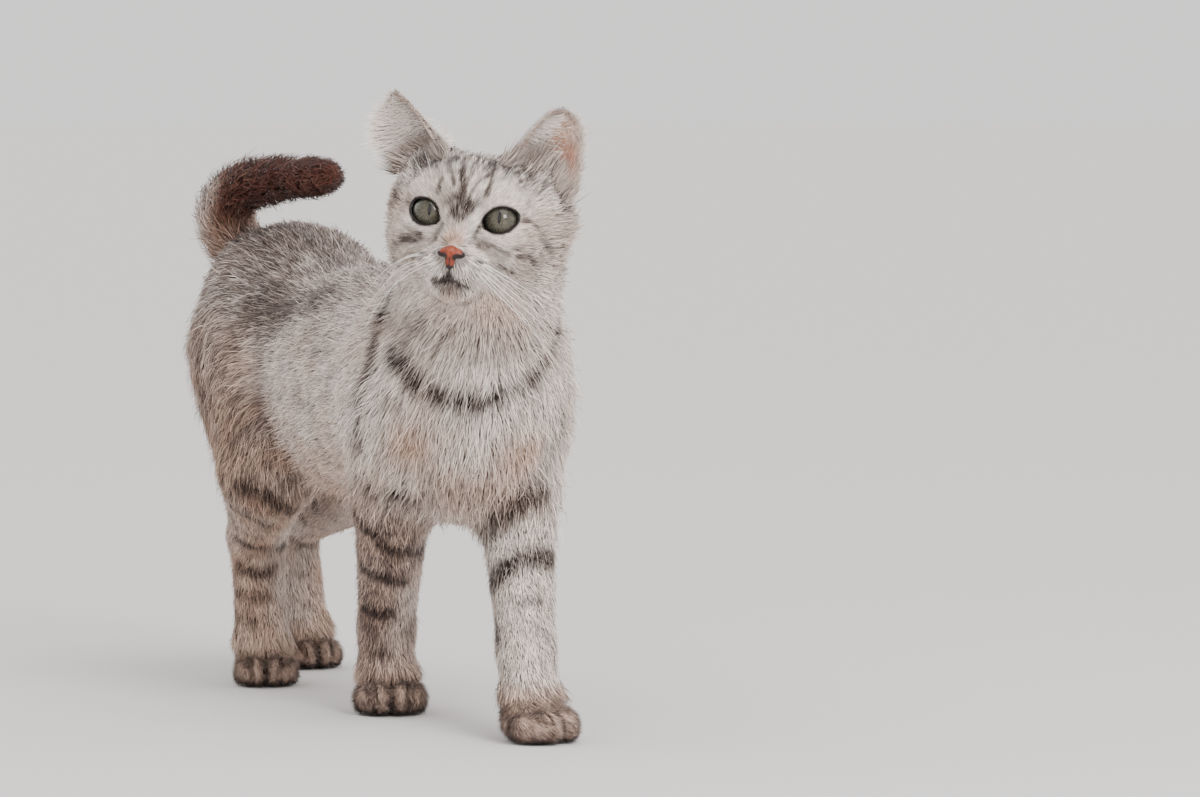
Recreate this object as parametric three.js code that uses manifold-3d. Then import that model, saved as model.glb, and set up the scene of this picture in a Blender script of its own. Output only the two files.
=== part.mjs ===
// A short-haired silver tabby cat in mid-step, life size, as a still museum model.
// Millimetres, +Z up; the cat faces -Y with its head turned to its right, and +X is its left.
// The body is one smooth form, the outline of the coat, parted into named solids by thin cuts.
import * as THREE from "three";
import { mergeVertices } from "three/addons/utils/BufferGeometryUtils.js";
import Module from "manifold-3d";

const gap = 0.3; // clearance between neighbouring solids

// Head: its own frame sits midway between the eyeballs, with y back and z up.
const headPlace = [-26.3, -134.8, 286.5];
const headTurn = { nod: -4, tilt: 6.5, yaw: -33 }; // degrees
const headReach = 130; // the head counts only this near its own frame's origin
const headFillet = 10;
const eye = { centre: [20.5, -1, 0], radius: 10.3 };
const lids = { half: [9.8, 6.9], front: 1.25, back: 0.85, depth: 20, ahead: 3, slant: 20, outward: 12 };
const nose = { centre: [0, -31.5, -21], half: [6.2, 5, 5.8] };

// Ears, in the head's frame: where both edges start, how they bow, and where they meet the blunt tip.
const ears = {
  ear_left: {
    inner: [18, 10, 34],
    innerBow: [31, 15, 59],
    innerTip: [39, 24, 64.6],
    outer: [53, 33, 18],
    outerBow: [60, 33, 50],
    outerTip: [46.4, 27, 63.8],
  },
  ear_right: {
    inner: [-20, 10, 34],
    innerBow: [-38, 15, 57],
    innerTip: [-51, 24, 63.5],
    outer: [-44, 40, 24],
    outerBow: [-72, 44, 32],
    outerTip: [-54, 27, 62.5],
  },
};
const earShell = { bulge: 15, thick: 2.4, sunk: 9, rows: 6, columns: 6, crowding: 0.8, cap: 0.16, blunt: 0.85 };

// The two kinds of leg: radii down each length, and the egg round the bend that holds the upper length.
const foreLeg = {
  lengths: ["upper_arm", "forearm", "forepaw"],
  upper: { radii: [27, 22], fillet: 15 },
  lower: { radii: [22, 14.5], fillet: 11 },
  foot: { radii: [14.5, 13.5], fillet: 8, heel: 3 },
  pawSize: 1.05,
  kept: 0.22, // share of the lower leg that stays with the upper length
  egg: [70, 42, 92],
};
const hindLeg = {
  lengths: ["thigh", "shank", "hindpaw"],
  upper: { radii: [36, 28], fillet: 16 },
  lower: { radii: [27, 15.5], fillet: 11 },
  foot: { radii: [15.5, 14], fillet: 8, heel: 6 },
  pawSize: 0.96,
  kept: 0.26,
  egg: [70, 58, 112],
};
// Joints of the four legs; slope is the cut from the trunk, as its low and high points across and up.
const legs = [
  {
    ...foreLeg,
    side: -1,
    top: [-36, -62, 178],
    bend: [-32, -46, 128],
    wrist: [-15, 10, 46],
    paw: [-14, 3, 0],
    turn: -20,
    slope: [[-5, 112], [-50, 232]],
  },
  {
    ...foreLeg,
    side: 1,
    top: [36, -68, 178],
    bend: [25, -88, 128],
    wrist: [13, -128, 46],
    paw: [8, -149, 0],
    turn: 18,
    slope: [[3, 112], [50, 232]],
  },
  {
    ...hindLeg,
    side: -1,
    top: [-34, 172, 200],
    bend: [-39, 128, 132],
    wrist: [-22, 190, 86],
    paw: [-27, 163, 0],
    turn: -22,
    slope: [[-4, 112], [-46, 256]],
  },
  {
    ...hindLeg,
    side: 1,
    top: [34, 184, 200],
    bend: [36, 152, 126],
    wrist: [26, 258, 88],
    paw: [31, 240, 0],
    turn: -6,
    slope: [[4, 112], [46, 256]],
  },
];
const middleToe = { half: [7.6, 11.5, 10.5], out: 6.2, ahead: 14.5, height: 9.5, splay: 3 };
const sideToe = { half: [6, 11, 9], out: 14.2, ahead: 8, height: 8.5, splay: 9 };
const toeFillet = 2.5;
const pad = { half: [16.5, 17, 12.5], behind: 2, height: 10.5, fillet: 5 };
const footTop = 16; // the foot's lower end, above the floor
const pawTop = 27; // where a paw meets its leg

// Tail: a curve from the croup, up and forward over the back.
const tailPoints = [
  [-4, 198, 236],
  [-20, 216, 256],
  [-31, 218, 276],
  [-32, 202, 292],
  [-24, 172, 300],
  [-14, 130, 303],
  [-10, 106, 304],
];
const tail = { root: 17, end: 9, steps: 14, fillet: 4, start: 0.12, lengths: 4 };

// Net sizes: the largest step between points on each part, and sides and rings of a tube.
const cell = { trunk: 19, neck: 13.6, leg: 15.8, paw: 7.3 };
const legTube = { rings: 8, sides: 12 };
const tailTube = { rings: 4, sides: 10 };

// Form: signed distances, joined with rounded fillets.

const rad = THREE.MathUtils.degToRad;
const join = (a, b, k) => Math.min(a, b) - Math.max(k - Math.abs(a - b), 0) ** 2 / (4 * k);

// An ellipsoid: centre, half sizes, and turns in degrees about x, then y, then z.
function ball(centre, half, turn = [0, 0, 0]) {
  const pose = new THREE.Matrix4().makeRotationFromEuler(new THREE.Euler(...turn.map(rad), "ZYX"));
  const [xx, xy, xz, , yx, yy, yz, , zx, zy, zz] = pose.elements;
  const [hx, hy, hz] = half;
  const distance = (x, y, z) => {
    const [px, py, pz] = [x - centre[0], y - centre[1], z - centre[2]];
    const u = (px * xx + py * xy + pz * xz) / hx;
    const v = (px * yx + py * yy + pz * yz) / hy;
    const w = (px * zx + py * zy + pz * zz) / hz;
    const near = Math.hypot(u, v, w);
    const slope = Math.hypot(u / hx, v / hy, w / hz);
    return slope < 1e-9 ? -Math.min(...half) : (near * (near - 1)) / slope;
  };
  return { distance, centre, reach: Math.max(...half) };
}

// A limb: a straight taper with round ends, from radius ra at a to radius rb at b.
function limb(a, b, ra, rb) {
  const [bx, by, bz] = [b[0] - a[0], b[1] - a[1], b[2] - a[2]];
  const length2 = bx * bx + by * by + bz * bz;
  const taper = ra - rb;
  const side2 = length2 - taper * taper;
  const distance = (x, y, z) => {
    const [px, py, pz] = [x - a[0], y - a[1], z - a[2]];
    const along = px * bx + py * by + pz * bz;
    const past = along - length2;
    const [ox, oy, oz] = [px * length2 - bx * along, py * length2 - by * along, pz * length2 - bz * along];
    const off2 = ox * ox + oy * oy + oz * oz;
    const bound = Math.sign(taper) * taper * taper * off2;
    const [past2, along2] = [past * past * length2, along * along * length2];
    if (Math.sign(past) * side2 * past2 > bound) return Math.sqrt(off2 + past2) / length2 - rb;
    if (Math.sign(along) * side2 * along2 < bound) return Math.sqrt(off2 + along2) / length2 - ra;
    return (Math.sqrt((off2 * side2) / length2) + along * taper) / length2 - ra;
  };
  const centre = [0, 1, 2].map((i) => (a[i] + b[i]) / 2);
  return { distance, centre, reach: Math.sqrt(length2) / 2 + Math.max(ra, rb) };
}

// Joins shapes, each given as [shape, fillet], into one distance; far shapes are passed over.
function blend(shapes) {
  return (x, y, z) => {
    let d = Infinity;
    for (const [shape, k] of shapes) {
      const [cx, cy, cz] = shape.centre;
      const lower = Math.hypot(x - cx, y - cy, z - cz) - shape.reach;
      if (lower < d + k) d = d === Infinity ? shape.distance(x, y, z) : join(d, shape.distance(x, y, z), k);
    }
    return d;
  };
}

const mirrored = (make) => [1, -1].flatMap((side) => make(side));

// Skull, brows, cheeks and muzzle, in the head's own frame.
const headShapes = [
  [ball([0, 27, 6], [38, 41, 30]), 8],
  [ball([0, 3, 12], [25, 21, 18]), 10],
  ...mirrored((s) => [
    [ball([s * 23, 14, -12], [20, 26, 21]), 12],
    [ball([s * 30, 36, -12], [18, 21, 24]), 12],
    [ball([s * 34, 30, 7], [14, 19, 16]), 9],
    [ball([s * 24, 31, 24], [17, 11, 15]), 9],
    [ball([s * 21, -2, -13], [12, 11, 8]), 9],
    [ball([s * 20, -1, 11], [13, 9, 7]), 8],
    [ball([s * 9, -18, -27], [11.5, 12.5, 10]), 8],
    [limb([0, -10, -32], [s * 19, 20, -24], 11, 14), 8],
  ]),
  [ball([45, 36, 1], [9, 11, 13]), 8],
  [limb([0, -1, 5], [0, -23, -15], 13, 8.5), 8],
  [ball([0, -26.5, -21], [7.5, 6.5, 7.5]), 6],
  [ball([0, -15, -38], [10.5, 11, 8.5]), 6],
];

// Chest, barrel, hips, neck and ruff, then the shoulder blades and thighs.
const bodyShapes = [
  [ball([0, -62, 184], [50, 58, 61]), 20],
  [ball([0, -8, 187], [53, 84, 62]), 40],
  [ball([0, 72, 189], [53, 92, 62]), 40],
  [ball([0, 100, 152], [36, 56, 34]), 20],
  [ball([0, 158, 203], [54, 66, 62]), 30],
  [ball([0, 186, 235], [53, 42, 40]), 20],
  [ball([0, -98, 178], [37, 34, 46]), 18],
  [ball([0, -78, 148], [32, 40, 34]), 18],
  [limb([0, -80, 206], [-3, -96, 256], 53, 43), 20],
  [ball([-12, -114, 242], [40, 27, 36]), 16],
  [ball([20, -94, 264], [31, 29, 30]), 14],
  ...mirrored((s) => [
    [ball([s * 40, -62, 182], [20, 38, 52], [0, s * 6, 0]), 16],
    [ball([s * 36, 166, 184], [24, 52, 60]), 18],
  ]),
];

// One leg's shapes: a taper for each length, then the paw as a pad with four toes.
function pawShapes({ paw, turn, pawSize }) {
  const [c, s] = [Math.cos(rad(turn)), Math.sin(rad(turn))];
  const at = (x, y, z) => {
    const [along, across] = [pawSize * (c * x - s * y), pawSize * (s * x + c * y)];
    return [paw[0] + along, paw[1] + across, pawSize * z];
  };
  const sized = (half) => half.map((v) => v * pawSize);
  const toes = mirrored((s) =>
    [middleToe, sideToe].map(({ half, out, ahead, height, splay }) => [
      ball(at(s * out, -ahead, height), sized(half), [0, 0, turn - s * splay]),
      toeFillet,
    ]),
  );
  return [[ball(at(0, pad.behind, pad.height), sized(pad.half), [0, 0, turn]), pad.fillet], ...toes];
}
const ankleOf = (leg, height) => [leg.paw[0], leg.paw[1] + leg.foot.heel, height];
const legShapes = legs.flatMap((leg) => [
  [limb(leg.top, leg.bend, ...leg.upper.radii), leg.upper.fillet],
  [limb(leg.bend, leg.wrist, ...leg.lower.radii), leg.lower.fillet],
  [limb(leg.wrist, ankleOf(leg, footTop), ...leg.foot.radii), leg.foot.fillet],
  ...pawShapes(leg),
]);

const tailCurve = new THREE.CatmullRomCurve3(tailPoints.map((p) => new THREE.Vector3(...p)));
const tailShapes = Array.from({ length: tail.steps }, (_, i) => {
  const shares = [i / tail.steps, (i + 1) / tail.steps];
  const [a, b] = shares.map((t) => tailCurve.getPoint(t).toArray());
  const [ra, rb] = shares.map((t) => THREE.MathUtils.lerp(tail.root, tail.end, t));
  return [limb(a, b, ra, rb), tail.fillet];
});

const headEuler = new THREE.Euler(rad(headTurn.nod), rad(headTurn.tilt), rad(headTurn.yaw), "ZXY");
const headPose = new THREE.Matrix4().makeRotationFromEuler(headEuler).setPosition(...headPlace);
const toHead = headPose.clone().invert();
const headForm = blend(headShapes);
const bodyForm = blend([...bodyShapes, ...legShapes, ...tailShapes]);
const seen = new THREE.Vector3();
function catForm(x, y, z) {
  seen.set(x, y, z).applyMatrix4(toHead);
  const d = bodyForm(x, y, z);
  return seen.length() > headReach ? d : join(headForm(seen.x, seen.y, seen.z), d, headFillet);
}

// Solids: nets and tubes over the form, and the cuts that part them.

const wasm = await Module();
wasm.setup();

// A closed three.js geometry as a manifold solid, and back again.
function solidOf(geometry) {
  const bare = geometry.clone();
  bare.deleteAttribute("normal");
  bare.deleteAttribute("uv");
  const { attributes, index } = mergeVertices(bare, 1e-4);
  const triVerts = new Uint32Array(index.array);
  const vertProperties = attributes.position.array;
  return new wasm.Manifold(new wasm.Mesh({ numProp: 3, vertProperties, triVerts }));
}
function geometryOf(solid) {
  const { vertProperties, triVerts } = solid.getMesh();
  const geometry = new THREE.BufferGeometry();
  geometry.setAttribute("position", new THREE.BufferAttribute(new Float32Array(vertProperties), 3));
  return geometry.setIndex(new THREE.BufferAttribute(new Uint32Array(triVerts), 1));
}

// Moves a point on to the form's surface, along the form's slope.
const feel = 0.5; // step for reading the slope
function settle(form, p) {
  for (let pass = 0; pass < 3; pass++) {
    const d = form(p.x, p.y, p.z);
    const slope = new THREE.Vector3(
      form(p.x + feel, p.y, p.z) - form(p.x - feel, p.y, p.z),
      form(p.x, p.y + feel, p.z) - form(p.x, p.y - feel, p.z),
      form(p.x, p.y, p.z + feel) - form(p.x, p.y, p.z - feel),
    ).divideScalar(2 * feel);
    p.addScaledVector(slope, -d / Math.max(slope.lengthSq(), 0.25));
  }
}

// Grid stops along one axis, from stretches of [start, end, step].
function stops(...stretches) {
  const found = stretches.flatMap(([start, end, step]) => {
    const count = Math.round((end - start) / step);
    return Array.from({ length: count }, (_, n) => start + ((end - start) * n) / count);
  });
  return [...found, stretches.at(-1)[1]];
}

// A grid's bookkeeping: numbering, places in space, and a walk over its crossings or its cells.
function latticeOf(grid, pose) {
  const counts = grid.map((line) => line.length - 1);
  const number = ([i, j, k]) => i + (counts[0] + 1) * (j + (counts[1] + 1) * k);
  const within = (here) => here.every((v, axis) => v > 0 && v < counts[axis]);
  const stopAt = (line, v) => {
    const low = Math.min(Math.floor(v), line.length - 2);
    return THREE.MathUtils.lerp(line[low], line[low + 1], v - low);
  };
  const at = (here) => new THREE.Vector3(...here.map((v, axis) => stopAt(grid[axis], v))).applyMatrix4(pose);
  const walk = (spare, visit) => {
    for (let k = 0; k <= counts[2] - spare; k++)
      for (let j = 0; j <= counts[1] - spare; j++)
        for (let i = 0; i <= counts[0] - spare; i++) visit([i, j, k]);
  };
  return { number, within, at, walk };
}

// The mean of the places where the surface crosses a cell's twelve edges, as shares of the cell.
const corners = [0, 1].flatMap((c) => [0, 1].flatMap((b) => [0, 1].map((a) => [a, b, c])));
const cellEdges = corners.flatMap((from, m) =>
  [0, 1, 2].filter((axis) => !from[axis]).map((axis) => [m, m + 2 ** axis]),
);
function crossingIn(values) {
  const sum = new THREE.Vector3();
  const crossed = cellEdges.filter(([m, n]) => values[m] > 0 !== values[n] > 0);
  crossed.forEach(([m, n]) => {
    const share = values[m] / (values[m] - values[n]);
    sum.add(new THREE.Vector3(...corners[m]).lerp(new THREE.Vector3(...corners[n]), share));
  });
  return crossed.length ? sum.divideScalar(crossed.length) : null;
}

// Wraps a form in a net over a grid, with one point in each cell that the surface crosses.
const rim = 1; // least distance on the grid's outer faces, so that the net closes there
const around = [[0, 0], [1, 0], [1, 1], [0, 1]];
function netOf(form, grid, pose = new THREE.Matrix4()) {
  const { number, within, at, walk } = latticeOf(grid, pose);
  const value = [];
  walk(0, (here) => {
    const d = form(...at(here).toArray());
    value[number(here)] = within(here) ? d : Math.max(d, rim);
  });
  const points = [];
  const pointIn = new Map();
  walk(1, (here) => {
    const ends = corners.map((corner) => corner.map((v, axis) => here[axis] + v));
    const middle = crossingIn(ends.map((end) => value[number(end)]));
    if (!middle) return;
    const p = at(middle.toArray().map((v, axis) => here[axis] + v));
    if (within(here) && within(ends.at(-1))) settle(form, p);
    pointIn.set(number(here), points.length);
    points.push(p);
  });
  const index = [];
  const quad = (a, b, c, d) => {
    const short = points[a].distanceTo(points[c]) < points[b].distanceTo(points[d]);
    index.push(...(short ? [a, b, c, a, c, d] : [a, b, d, b, c, d]));
  };
  // Each grid edge that the surface crosses gives a quad between the four cells round it.
  walk(1, (here) =>
    [0, 1, 2].forEach((axis) => {
      const next = here.map((v, n) => v + (n === axis));
      const inside = value[number(here)] <= 0;
      if (inside === value[number(next)] <= 0) return;
      const four = around.map(([b, c]) => {
        const low = [...here];
        low[(axis + 1) % 3] -= b;
        low[(axis + 2) % 3] -= c;
        return pointIn.get(number(low));
      });
      quad(...(inside ? four : four.reverse()));
    }),
  );
  return solidOf(new THREE.BufferGeometry().setFromPoints(points).setIndex(index));
}

// Where a ray from inside the form comes out of it.
const ray = { first: 4, step: 3, most: 60, halvings: 10 };
function wayOut(form, start, direction) {
  const depth = (reach) => form(...start.clone().addScaledVector(direction, reach).toArray());
  let [near, far] = [0, ray.first];
  while (depth(far) < 0 && far < ray.most) [near, far] = [far, far + ray.step];
  for (let n = 0; n < ray.halvings; n++) {
    const middle = (near + far) / 2;
    if (depth(middle) < 0) near = middle;
    else far = middle;
  }
  return start.clone().addScaledVector(direction, far);
}

// A tube of the form along a curve, in rings across it. The curve's own end closes in a tip.
function tubeOf(form, curve, from, to, { rings, sides }) {
  const points = [];
  for (let r = 0; r < rings; r++) {
    const t = from + ((to - from) * r) / (rings - 1);
    const centre = curve.getPointAt(t);
    const ahead = curve.getTangentAt(t);
    const up = new THREE.Vector3(1, 0, 0).cross(ahead).normalize();
    const side = ahead.clone().cross(up);
    for (let n = 0; n < sides; n++) {
      const turn = (n / sides) * 2 * Math.PI;
      const outward = side.clone().multiplyScalar(Math.cos(turn)).addScaledVector(up, Math.sin(turn));
      points.push(wayOut(form, centre, outward));
    }
  }
  const tip = to === 1 ? wayOut(form, curve.getPointAt(1), curve.getTangentAt(1)) : curve.getPointAt(to);
  const [first, last] = [points.length, points.length + 1];
  points.push(curve.getPointAt(from), tip);
  const index = [];
  const ring = (r, n) => r * sides + (n % sides);
  for (let n = 0; n < sides; n++) {
    for (let r = 0; r < rings - 1; r++) {
      index.push(ring(r, n), ring(r + 1, n + 1), ring(r, n + 1));
      index.push(ring(r, n), ring(r + 1, n), ring(r + 1, n + 1));
    }
    index.push(ring(0, n), ring(0, n + 1), first);
    index.push(ring(rings - 1, n + 1), ring(rings - 1, n), last);
  }
  return new THREE.BufferGeometry().setFromPoints(points).setIndex(index);
}

// Half of space as a big solid: all that lies ahead of a plane, from a clearance on.
const vast = 1200;
function halfSpace(point, ahead, clearance = 0) {
  const direction = new THREE.Vector3(...ahead).normalize();
  const box = new THREE.BoxGeometry(vast, vast, vast).translate(0, 0, vast / 2 + clearance);
  box.applyQuaternion(new THREE.Quaternion().setFromUnitVectors(new THREE.Vector3(0, 0, 1), direction));
  return solidOf(box.translate(...point));
}
const backward = (direction) => direction.map((v) => -v);
const aheadOf = (solid, [point, ahead]) => solid.intersect(halfSpace(point, ahead, gap / 2));
const behindOf = (solid, [point, ahead]) => solid.intersect(halfSpace(point, backward(ahead), gap / 2));
const largest = (solid) => solid.decompose().sort((a, b) => b.volume() - a.volume())[0];

// Planes that part the body, each a point and the direction ahead.
const headPoint = (...p) => new THREE.Vector3(...p).applyMatrix4(headPose).toArray();
const headDirection = (...v) => new THREE.Vector3(...v).transformDirection(headPose).toArray();
const across = (curve, t) => [curve.getPointAt(t).toArray(), curve.getTangentAt(t).toArray()];
const nape = [headPoint(0, 20, -27), headDirection(0, -0.5, 0.86)];
const collar = [[0, -86, 226], [0, -0.42, 0.9]];
const ribs = [[0, -12, 190], [0, -1, 0]];
const loins = [[0, 66, 190], [0, -1, 0]];
const croup = across(tailCurve, tail.start);
const floor = [[0, 0, 0], [0, 0, 1]];

// What a leg takes from the trunk: the outer side of its slope, within the egg round its bend.
function legCutter({ top, bend, egg, side, slope: [low, high] }, clearance) {
  const shape = new THREE.SphereGeometry(1, 12, 8).scale(...egg.map((v) => v + clearance));
  shape.rotateX(Math.atan2(bend[1] - top[1], top[2] - bend[2])).translate(...bend);
  const outward = [side * (high[1] - low[1]), 0, -side * (high[0] - low[0])];
  return solidOf(shape).intersect(halfSpace([low[0], 0, low[1]], outward, -clearance));
}

// Parts

const coatOf = (color) => new THREE.MeshStandardMaterial({ color, roughness: 0.9, metalness: 0 });
const paleCoat = coatOf(0xb3a79f);
const tabbyCoat = coatOf(0x9a8b84);
const darkCoat = coatOf(0x5a4038);
const footCoat = coatOf(0x7e6b5f);
const noseLeather = new THREE.MeshStandardMaterial({ color: 0xa35340, roughness: 0.55, metalness: 0 });
const eyeGlass = new THREE.MeshStandardMaterial({ color: 0x7d8074, roughness: 0.05, metalness: 0 });

const cat = new THREE.Group();
function addPart(name, geometry, material) {
  const mesh = new THREE.Mesh(geometry, material);
  mesh.name = name;
  cat.add(mesh);
}

// Head: a finer net round the face, with sockets and almond openings for the eyes and a seat for the nose.
const headGrid = [
  stops([-67, -26, 11], [-26, 26, 5.2], [26, 67, 11]),
  stops([-37, -11, 5.2], [-11, 76, 11]),
  stops([-62, -48, 7], [-48, -8, 5], [-8, 54, 11]),
];
const inHead = (geometry) => solidOf(geometry.applyMatrix4(headPose));
function lidOpening(side) {
  const cone = new THREE.CylinderGeometry(lids.back, lids.front, lids.depth, 12);
  cone.scale(lids.half[0], 1, lids.half[1]).translate(0, -lids.depth / 2, 0);
  cone.rotateY(rad(-side * lids.slant)).rotateZ(rad(side * lids.outward));
  return inHead(cone.translate(side * eye.centre[0], eye.centre[1] - lids.ahead, eye.centre[2]));
}
function eyeball(side, radius) {
  const sphere = new THREE.SphereGeometry(radius, 12, 9).rotateX(-Math.PI / 2);
  return sphere.translate(side * eye.centre[0], eye.centre[1], eye.centre[2]);
}
function noseSeat(clearance) {
  const sphere = new THREE.SphereGeometry(1, 12, 8).scale(...nose.half.map((v) => v + clearance));
  return inHead(sphere.translate(...nose.centre));
}
function addHead() {
  const whole = aheadOf(netOf(catForm, headGrid, headPose), nape);
  const face = mirrored((side) => [inHead(eyeball(side, eye.radius + gap)), lidOpening(side)]).reduce(
    (solid, cut) => solid.subtract(cut),
    whole.subtract(noseSeat(gap)),
  );
  addPart("head", geometryOf(largest(face)), tabbyCoat);
  addPart("nose", geometryOf(largest(whole.intersect(noseSeat(0)))), noseLeather);
  addPart("eye_left", eyeball(1, eye.radius).applyMatrix4(headPose), eyeGlass);
  addPart("eye_right", eyeball(-1, eye.radius).applyMatrix4(headPose), eyeGlass);
}

// An ear: a cupped sheet between its two edges, with a thin wall behind it and its foot sunk in the head.
function earSheet({ inner, innerBow, innerTip, outer, outerBow, outerTip }, wall) {
  const [a, b, c, d] = [inner, outer, innerTip, outerTip].map((p) => new THREE.Vector3(...p));
  const innerEdge = new THREE.QuadraticBezierCurve3(a, new THREE.Vector3(...innerBow), c);
  const outerEdge = new THREE.QuadraticBezierCurve3(b, new THREE.Vector3(...outerBow), d);
  const up = c.clone().add(d).sub(a).sub(b).normalize();
  const backwards = b.clone().sub(a).cross(up).normalize();
  backwards.multiplyScalar(Math.sign(backwards.y));
  const { rows, columns } = earShell;
  const points = [];
  for (let r = -1; r <= rows; r++) {
    const t = Math.max(r / rows, 0) ** earShell.crowding;
    const intoCap = Math.max((t - 1) / earShell.cap + 1, 0);
    const inset = (1 - Math.sqrt(1 - earShell.blunt * intoCap ** 2)) / 2;
    const [p, q] = [innerEdge.getPoint(t), outerEdge.getPoint(t)];
    const root = r < 0 ? -earShell.sunk : 0;
    for (let n = 0; n < columns; n++) {
      const u = n / (columns - 1);
      const cup = earShell.bulge * Math.sin(Math.PI * u) ** 0.8 * (1 - t) ** 0.7;
      const thick = wall * Math.sin(Math.PI * (0.12 + 0.76 * u));
      const spot = p.clone().lerp(q, inset + (1 - 2 * inset) * u);
      points.push(spot.addScaledVector(backwards, cup + thick).addScaledVector(up, root));
    }
  }
  return points;
}
function earShape(ear) {
  const front = earSheet(ear, 0);
  const back = earSheet(ear, earShell.thick);
  const count = front.length;
  const { rows, columns } = earShell;
  const index = [];
  const mirroredEar = ear.inner[0] > 0;
  const quad = (p, q, r, s) => index.push(...(mirroredEar ? [p, q, r, p, r, s] : [p, r, q, p, s, r]));
  const at = (r, c) => r * columns + c;
  for (let r = 0; r <= rows; r++)
    for (let c = 0; c < columns - 1; c++) {
      quad(at(r, c), at(r, c + 1), at(r + 1, c + 1), at(r + 1, c));
      quad(count + at(r, c), count + at(r + 1, c), count + at(r + 1, c + 1), count + at(r, c + 1));
    }
  const across = Array.from({ length: columns - 1 }, (_, c) => c);
  const upward = Array.from({ length: rows + 1 }, (_, r) => r);
  const border = [
    ...across.map((c) => at(0, c)),
    ...upward.map((r) => at(r, columns - 1)),
    ...across.map((c) => at(rows + 1, columns - 1 - c)),
    ...upward.map((r) => at(rows + 1 - r, 0)),
  ];
  border.forEach((p, n) => {
    const q = border[(n + 1) % border.length];
    quad(p, count + p, count + q, q);
  });
  return inHead(new THREE.BufferGeometry().setFromPoints([...front, ...back]).setIndex(index));
}
function addEars() {
  const fullerHead = netOf((x, y, z) => catForm(x, y, z) - 2 * gap, headGrid, headPose);
  const head = aheadOf(netOf(catForm, headGrid, headPose), nape);
  Object.entries(ears).forEach(([name, ear]) => {
    addPart(name, geometryOf(largest(earShape(ear).subtract(fullerHead).subtract(head))), paleCoat);
  });
}

// A leg: the upper length is a net parted from the trunk, the lower a tube, and the paw a finer net.
const legNet = { across: [-8, 78], ahead: 66, behind: 92, below: 44, above: 60 };
const pawNet = { across: 33, along: 38, below: 7, above: 42 };
const legRoom = { bend: 8, wrist: 12, foot: [26, 40] }; // how far round the bones the lower leg may reach
function addLeg(leg) {
  const { bend, wrist, top, paw, turn, side } = leg;
  const [upperName, lowerName, pawName] = leg.lengths.map((name) => `${name}_${side < 0 ? "right" : "left"}`);
  const ankle = ankleOf(leg, pawTop);
  const bones = new THREE.CatmullRomCurve3([bend, wrist, ankle].map((p) => new THREE.Vector3(...p)));

  const grid = [
    stops([...legNet.across, cell.leg]).map((x) => side * x).sort((a, b) => a - b),
    stops([bend[1] - legNet.ahead, bend[1] + legNet.behind, cell.leg]),
    stops([bend[2] - legNet.below, top[2] + legNet.above, cell.leg]),
  ];
  const upper = netOf(catForm, grid).intersect(legCutter(leg, 0));
  addPart(upperName, geometryOf(largest(behindOf(upper, across(bones, leg.kept)))), tabbyCoat);

  const [bendRadius, wristRadius] = leg.lower.radii;
  const room = blend([
    [limb(bend, wrist, bendRadius + legRoom.bend, wristRadius + legRoom.wrist), 1],
    [limb(wrist, paw, ...legRoom.foot), 1],
  ]);
  const lowerForm = (x, y, z) => Math.max(catForm(x, y, z), room(x, y, z));
  const spare = gap / 2 / bones.getLength();
  addPart(lowerName, tubeOf(lowerForm, bones, leg.kept + spare, 1 - spare, legTube), tabbyCoat);

  const pawGrid = [
    stops([-pawNet.across, pawNet.across, cell.paw]),
    stops([-pawNet.along, pawNet.along, cell.paw]),
    stops([-pawNet.below, pawNet.above, cell.paw]),
  ];
  const pawPose = new THREE.Matrix4().makeRotationZ(rad(turn)).setPosition(...paw);
  const foot = netOf(catForm, pawGrid, pawPose).intersect(halfSpace(...floor));
  addPart(pawName, geometryOf(largest(aheadOf(foot, across(bones, 1)))), footCoat);
}

// Neck and trunk, from the head back to the croup.
const trunkBox = [[-80, 80], [-170, 246], [84, 334]];
const neckBox = [[-72, 72], [-160, -20], [188, 300]];
const gridIn = (box, step) => box.map(([low, high]) => stops([low, high, step]));
function addTrunk() {
  const neck = netOf(catForm, gridIn(neckBox, cell.neck));
  addPart("neck", geometryOf(largest(aheadOf(behindOf(neck, nape), collar))), paleCoat);
  const whole = behindOf(behindOf(netOf(catForm, gridIn(trunkBox, cell.trunk)), nape), collar);
  const trunk = largest(legs.reduce((solid, leg) => solid.subtract(legCutter(leg, gap)), whole));
  addPart("chest", geometryOf(largest(aheadOf(trunk, ribs))), paleCoat);
  addPart("belly", geometryOf(largest(aheadOf(behindOf(trunk, ribs), loins))), tabbyCoat);
  addPart("hips", geometryOf(largest(behindOf(behindOf(trunk, loins), croup))), tabbyCoat);
}

function addTail() {
  const form = blend(tailShapes);
  const spare = gap / 2 / tailCurve.getLength();
  const share = (1 - tail.start) / tail.lengths;
  for (let n = 1; n <= tail.lengths; n++) {
    const from = tail.start + (n - 1) * share + spare;
    const to = n === tail.lengths ? 1 : tail.start + n * share - spare;
    addPart(`tail_${n}`, tubeOf(form, tailCurve, from, to, tailTube), darkCoat);
  }
}

addHead();
addEars();
legs.forEach(addLeg);
addTrunk();
addTail();

// The origin is the middle of the cat's box, at floor level.
const middle = new THREE.Box3().setFromObject(cat).getCenter(new THREE.Vector3());
cat.position.set(-middle.x, -middle.y, 0);

export default cat;
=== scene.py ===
# A walking silver tabby cat: one skin under a coat of mesh tufts, with eyes, nose, lips and whiskers.
import math

import bpy
import numpy as np
from mathutils import Matrix, Vector


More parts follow.
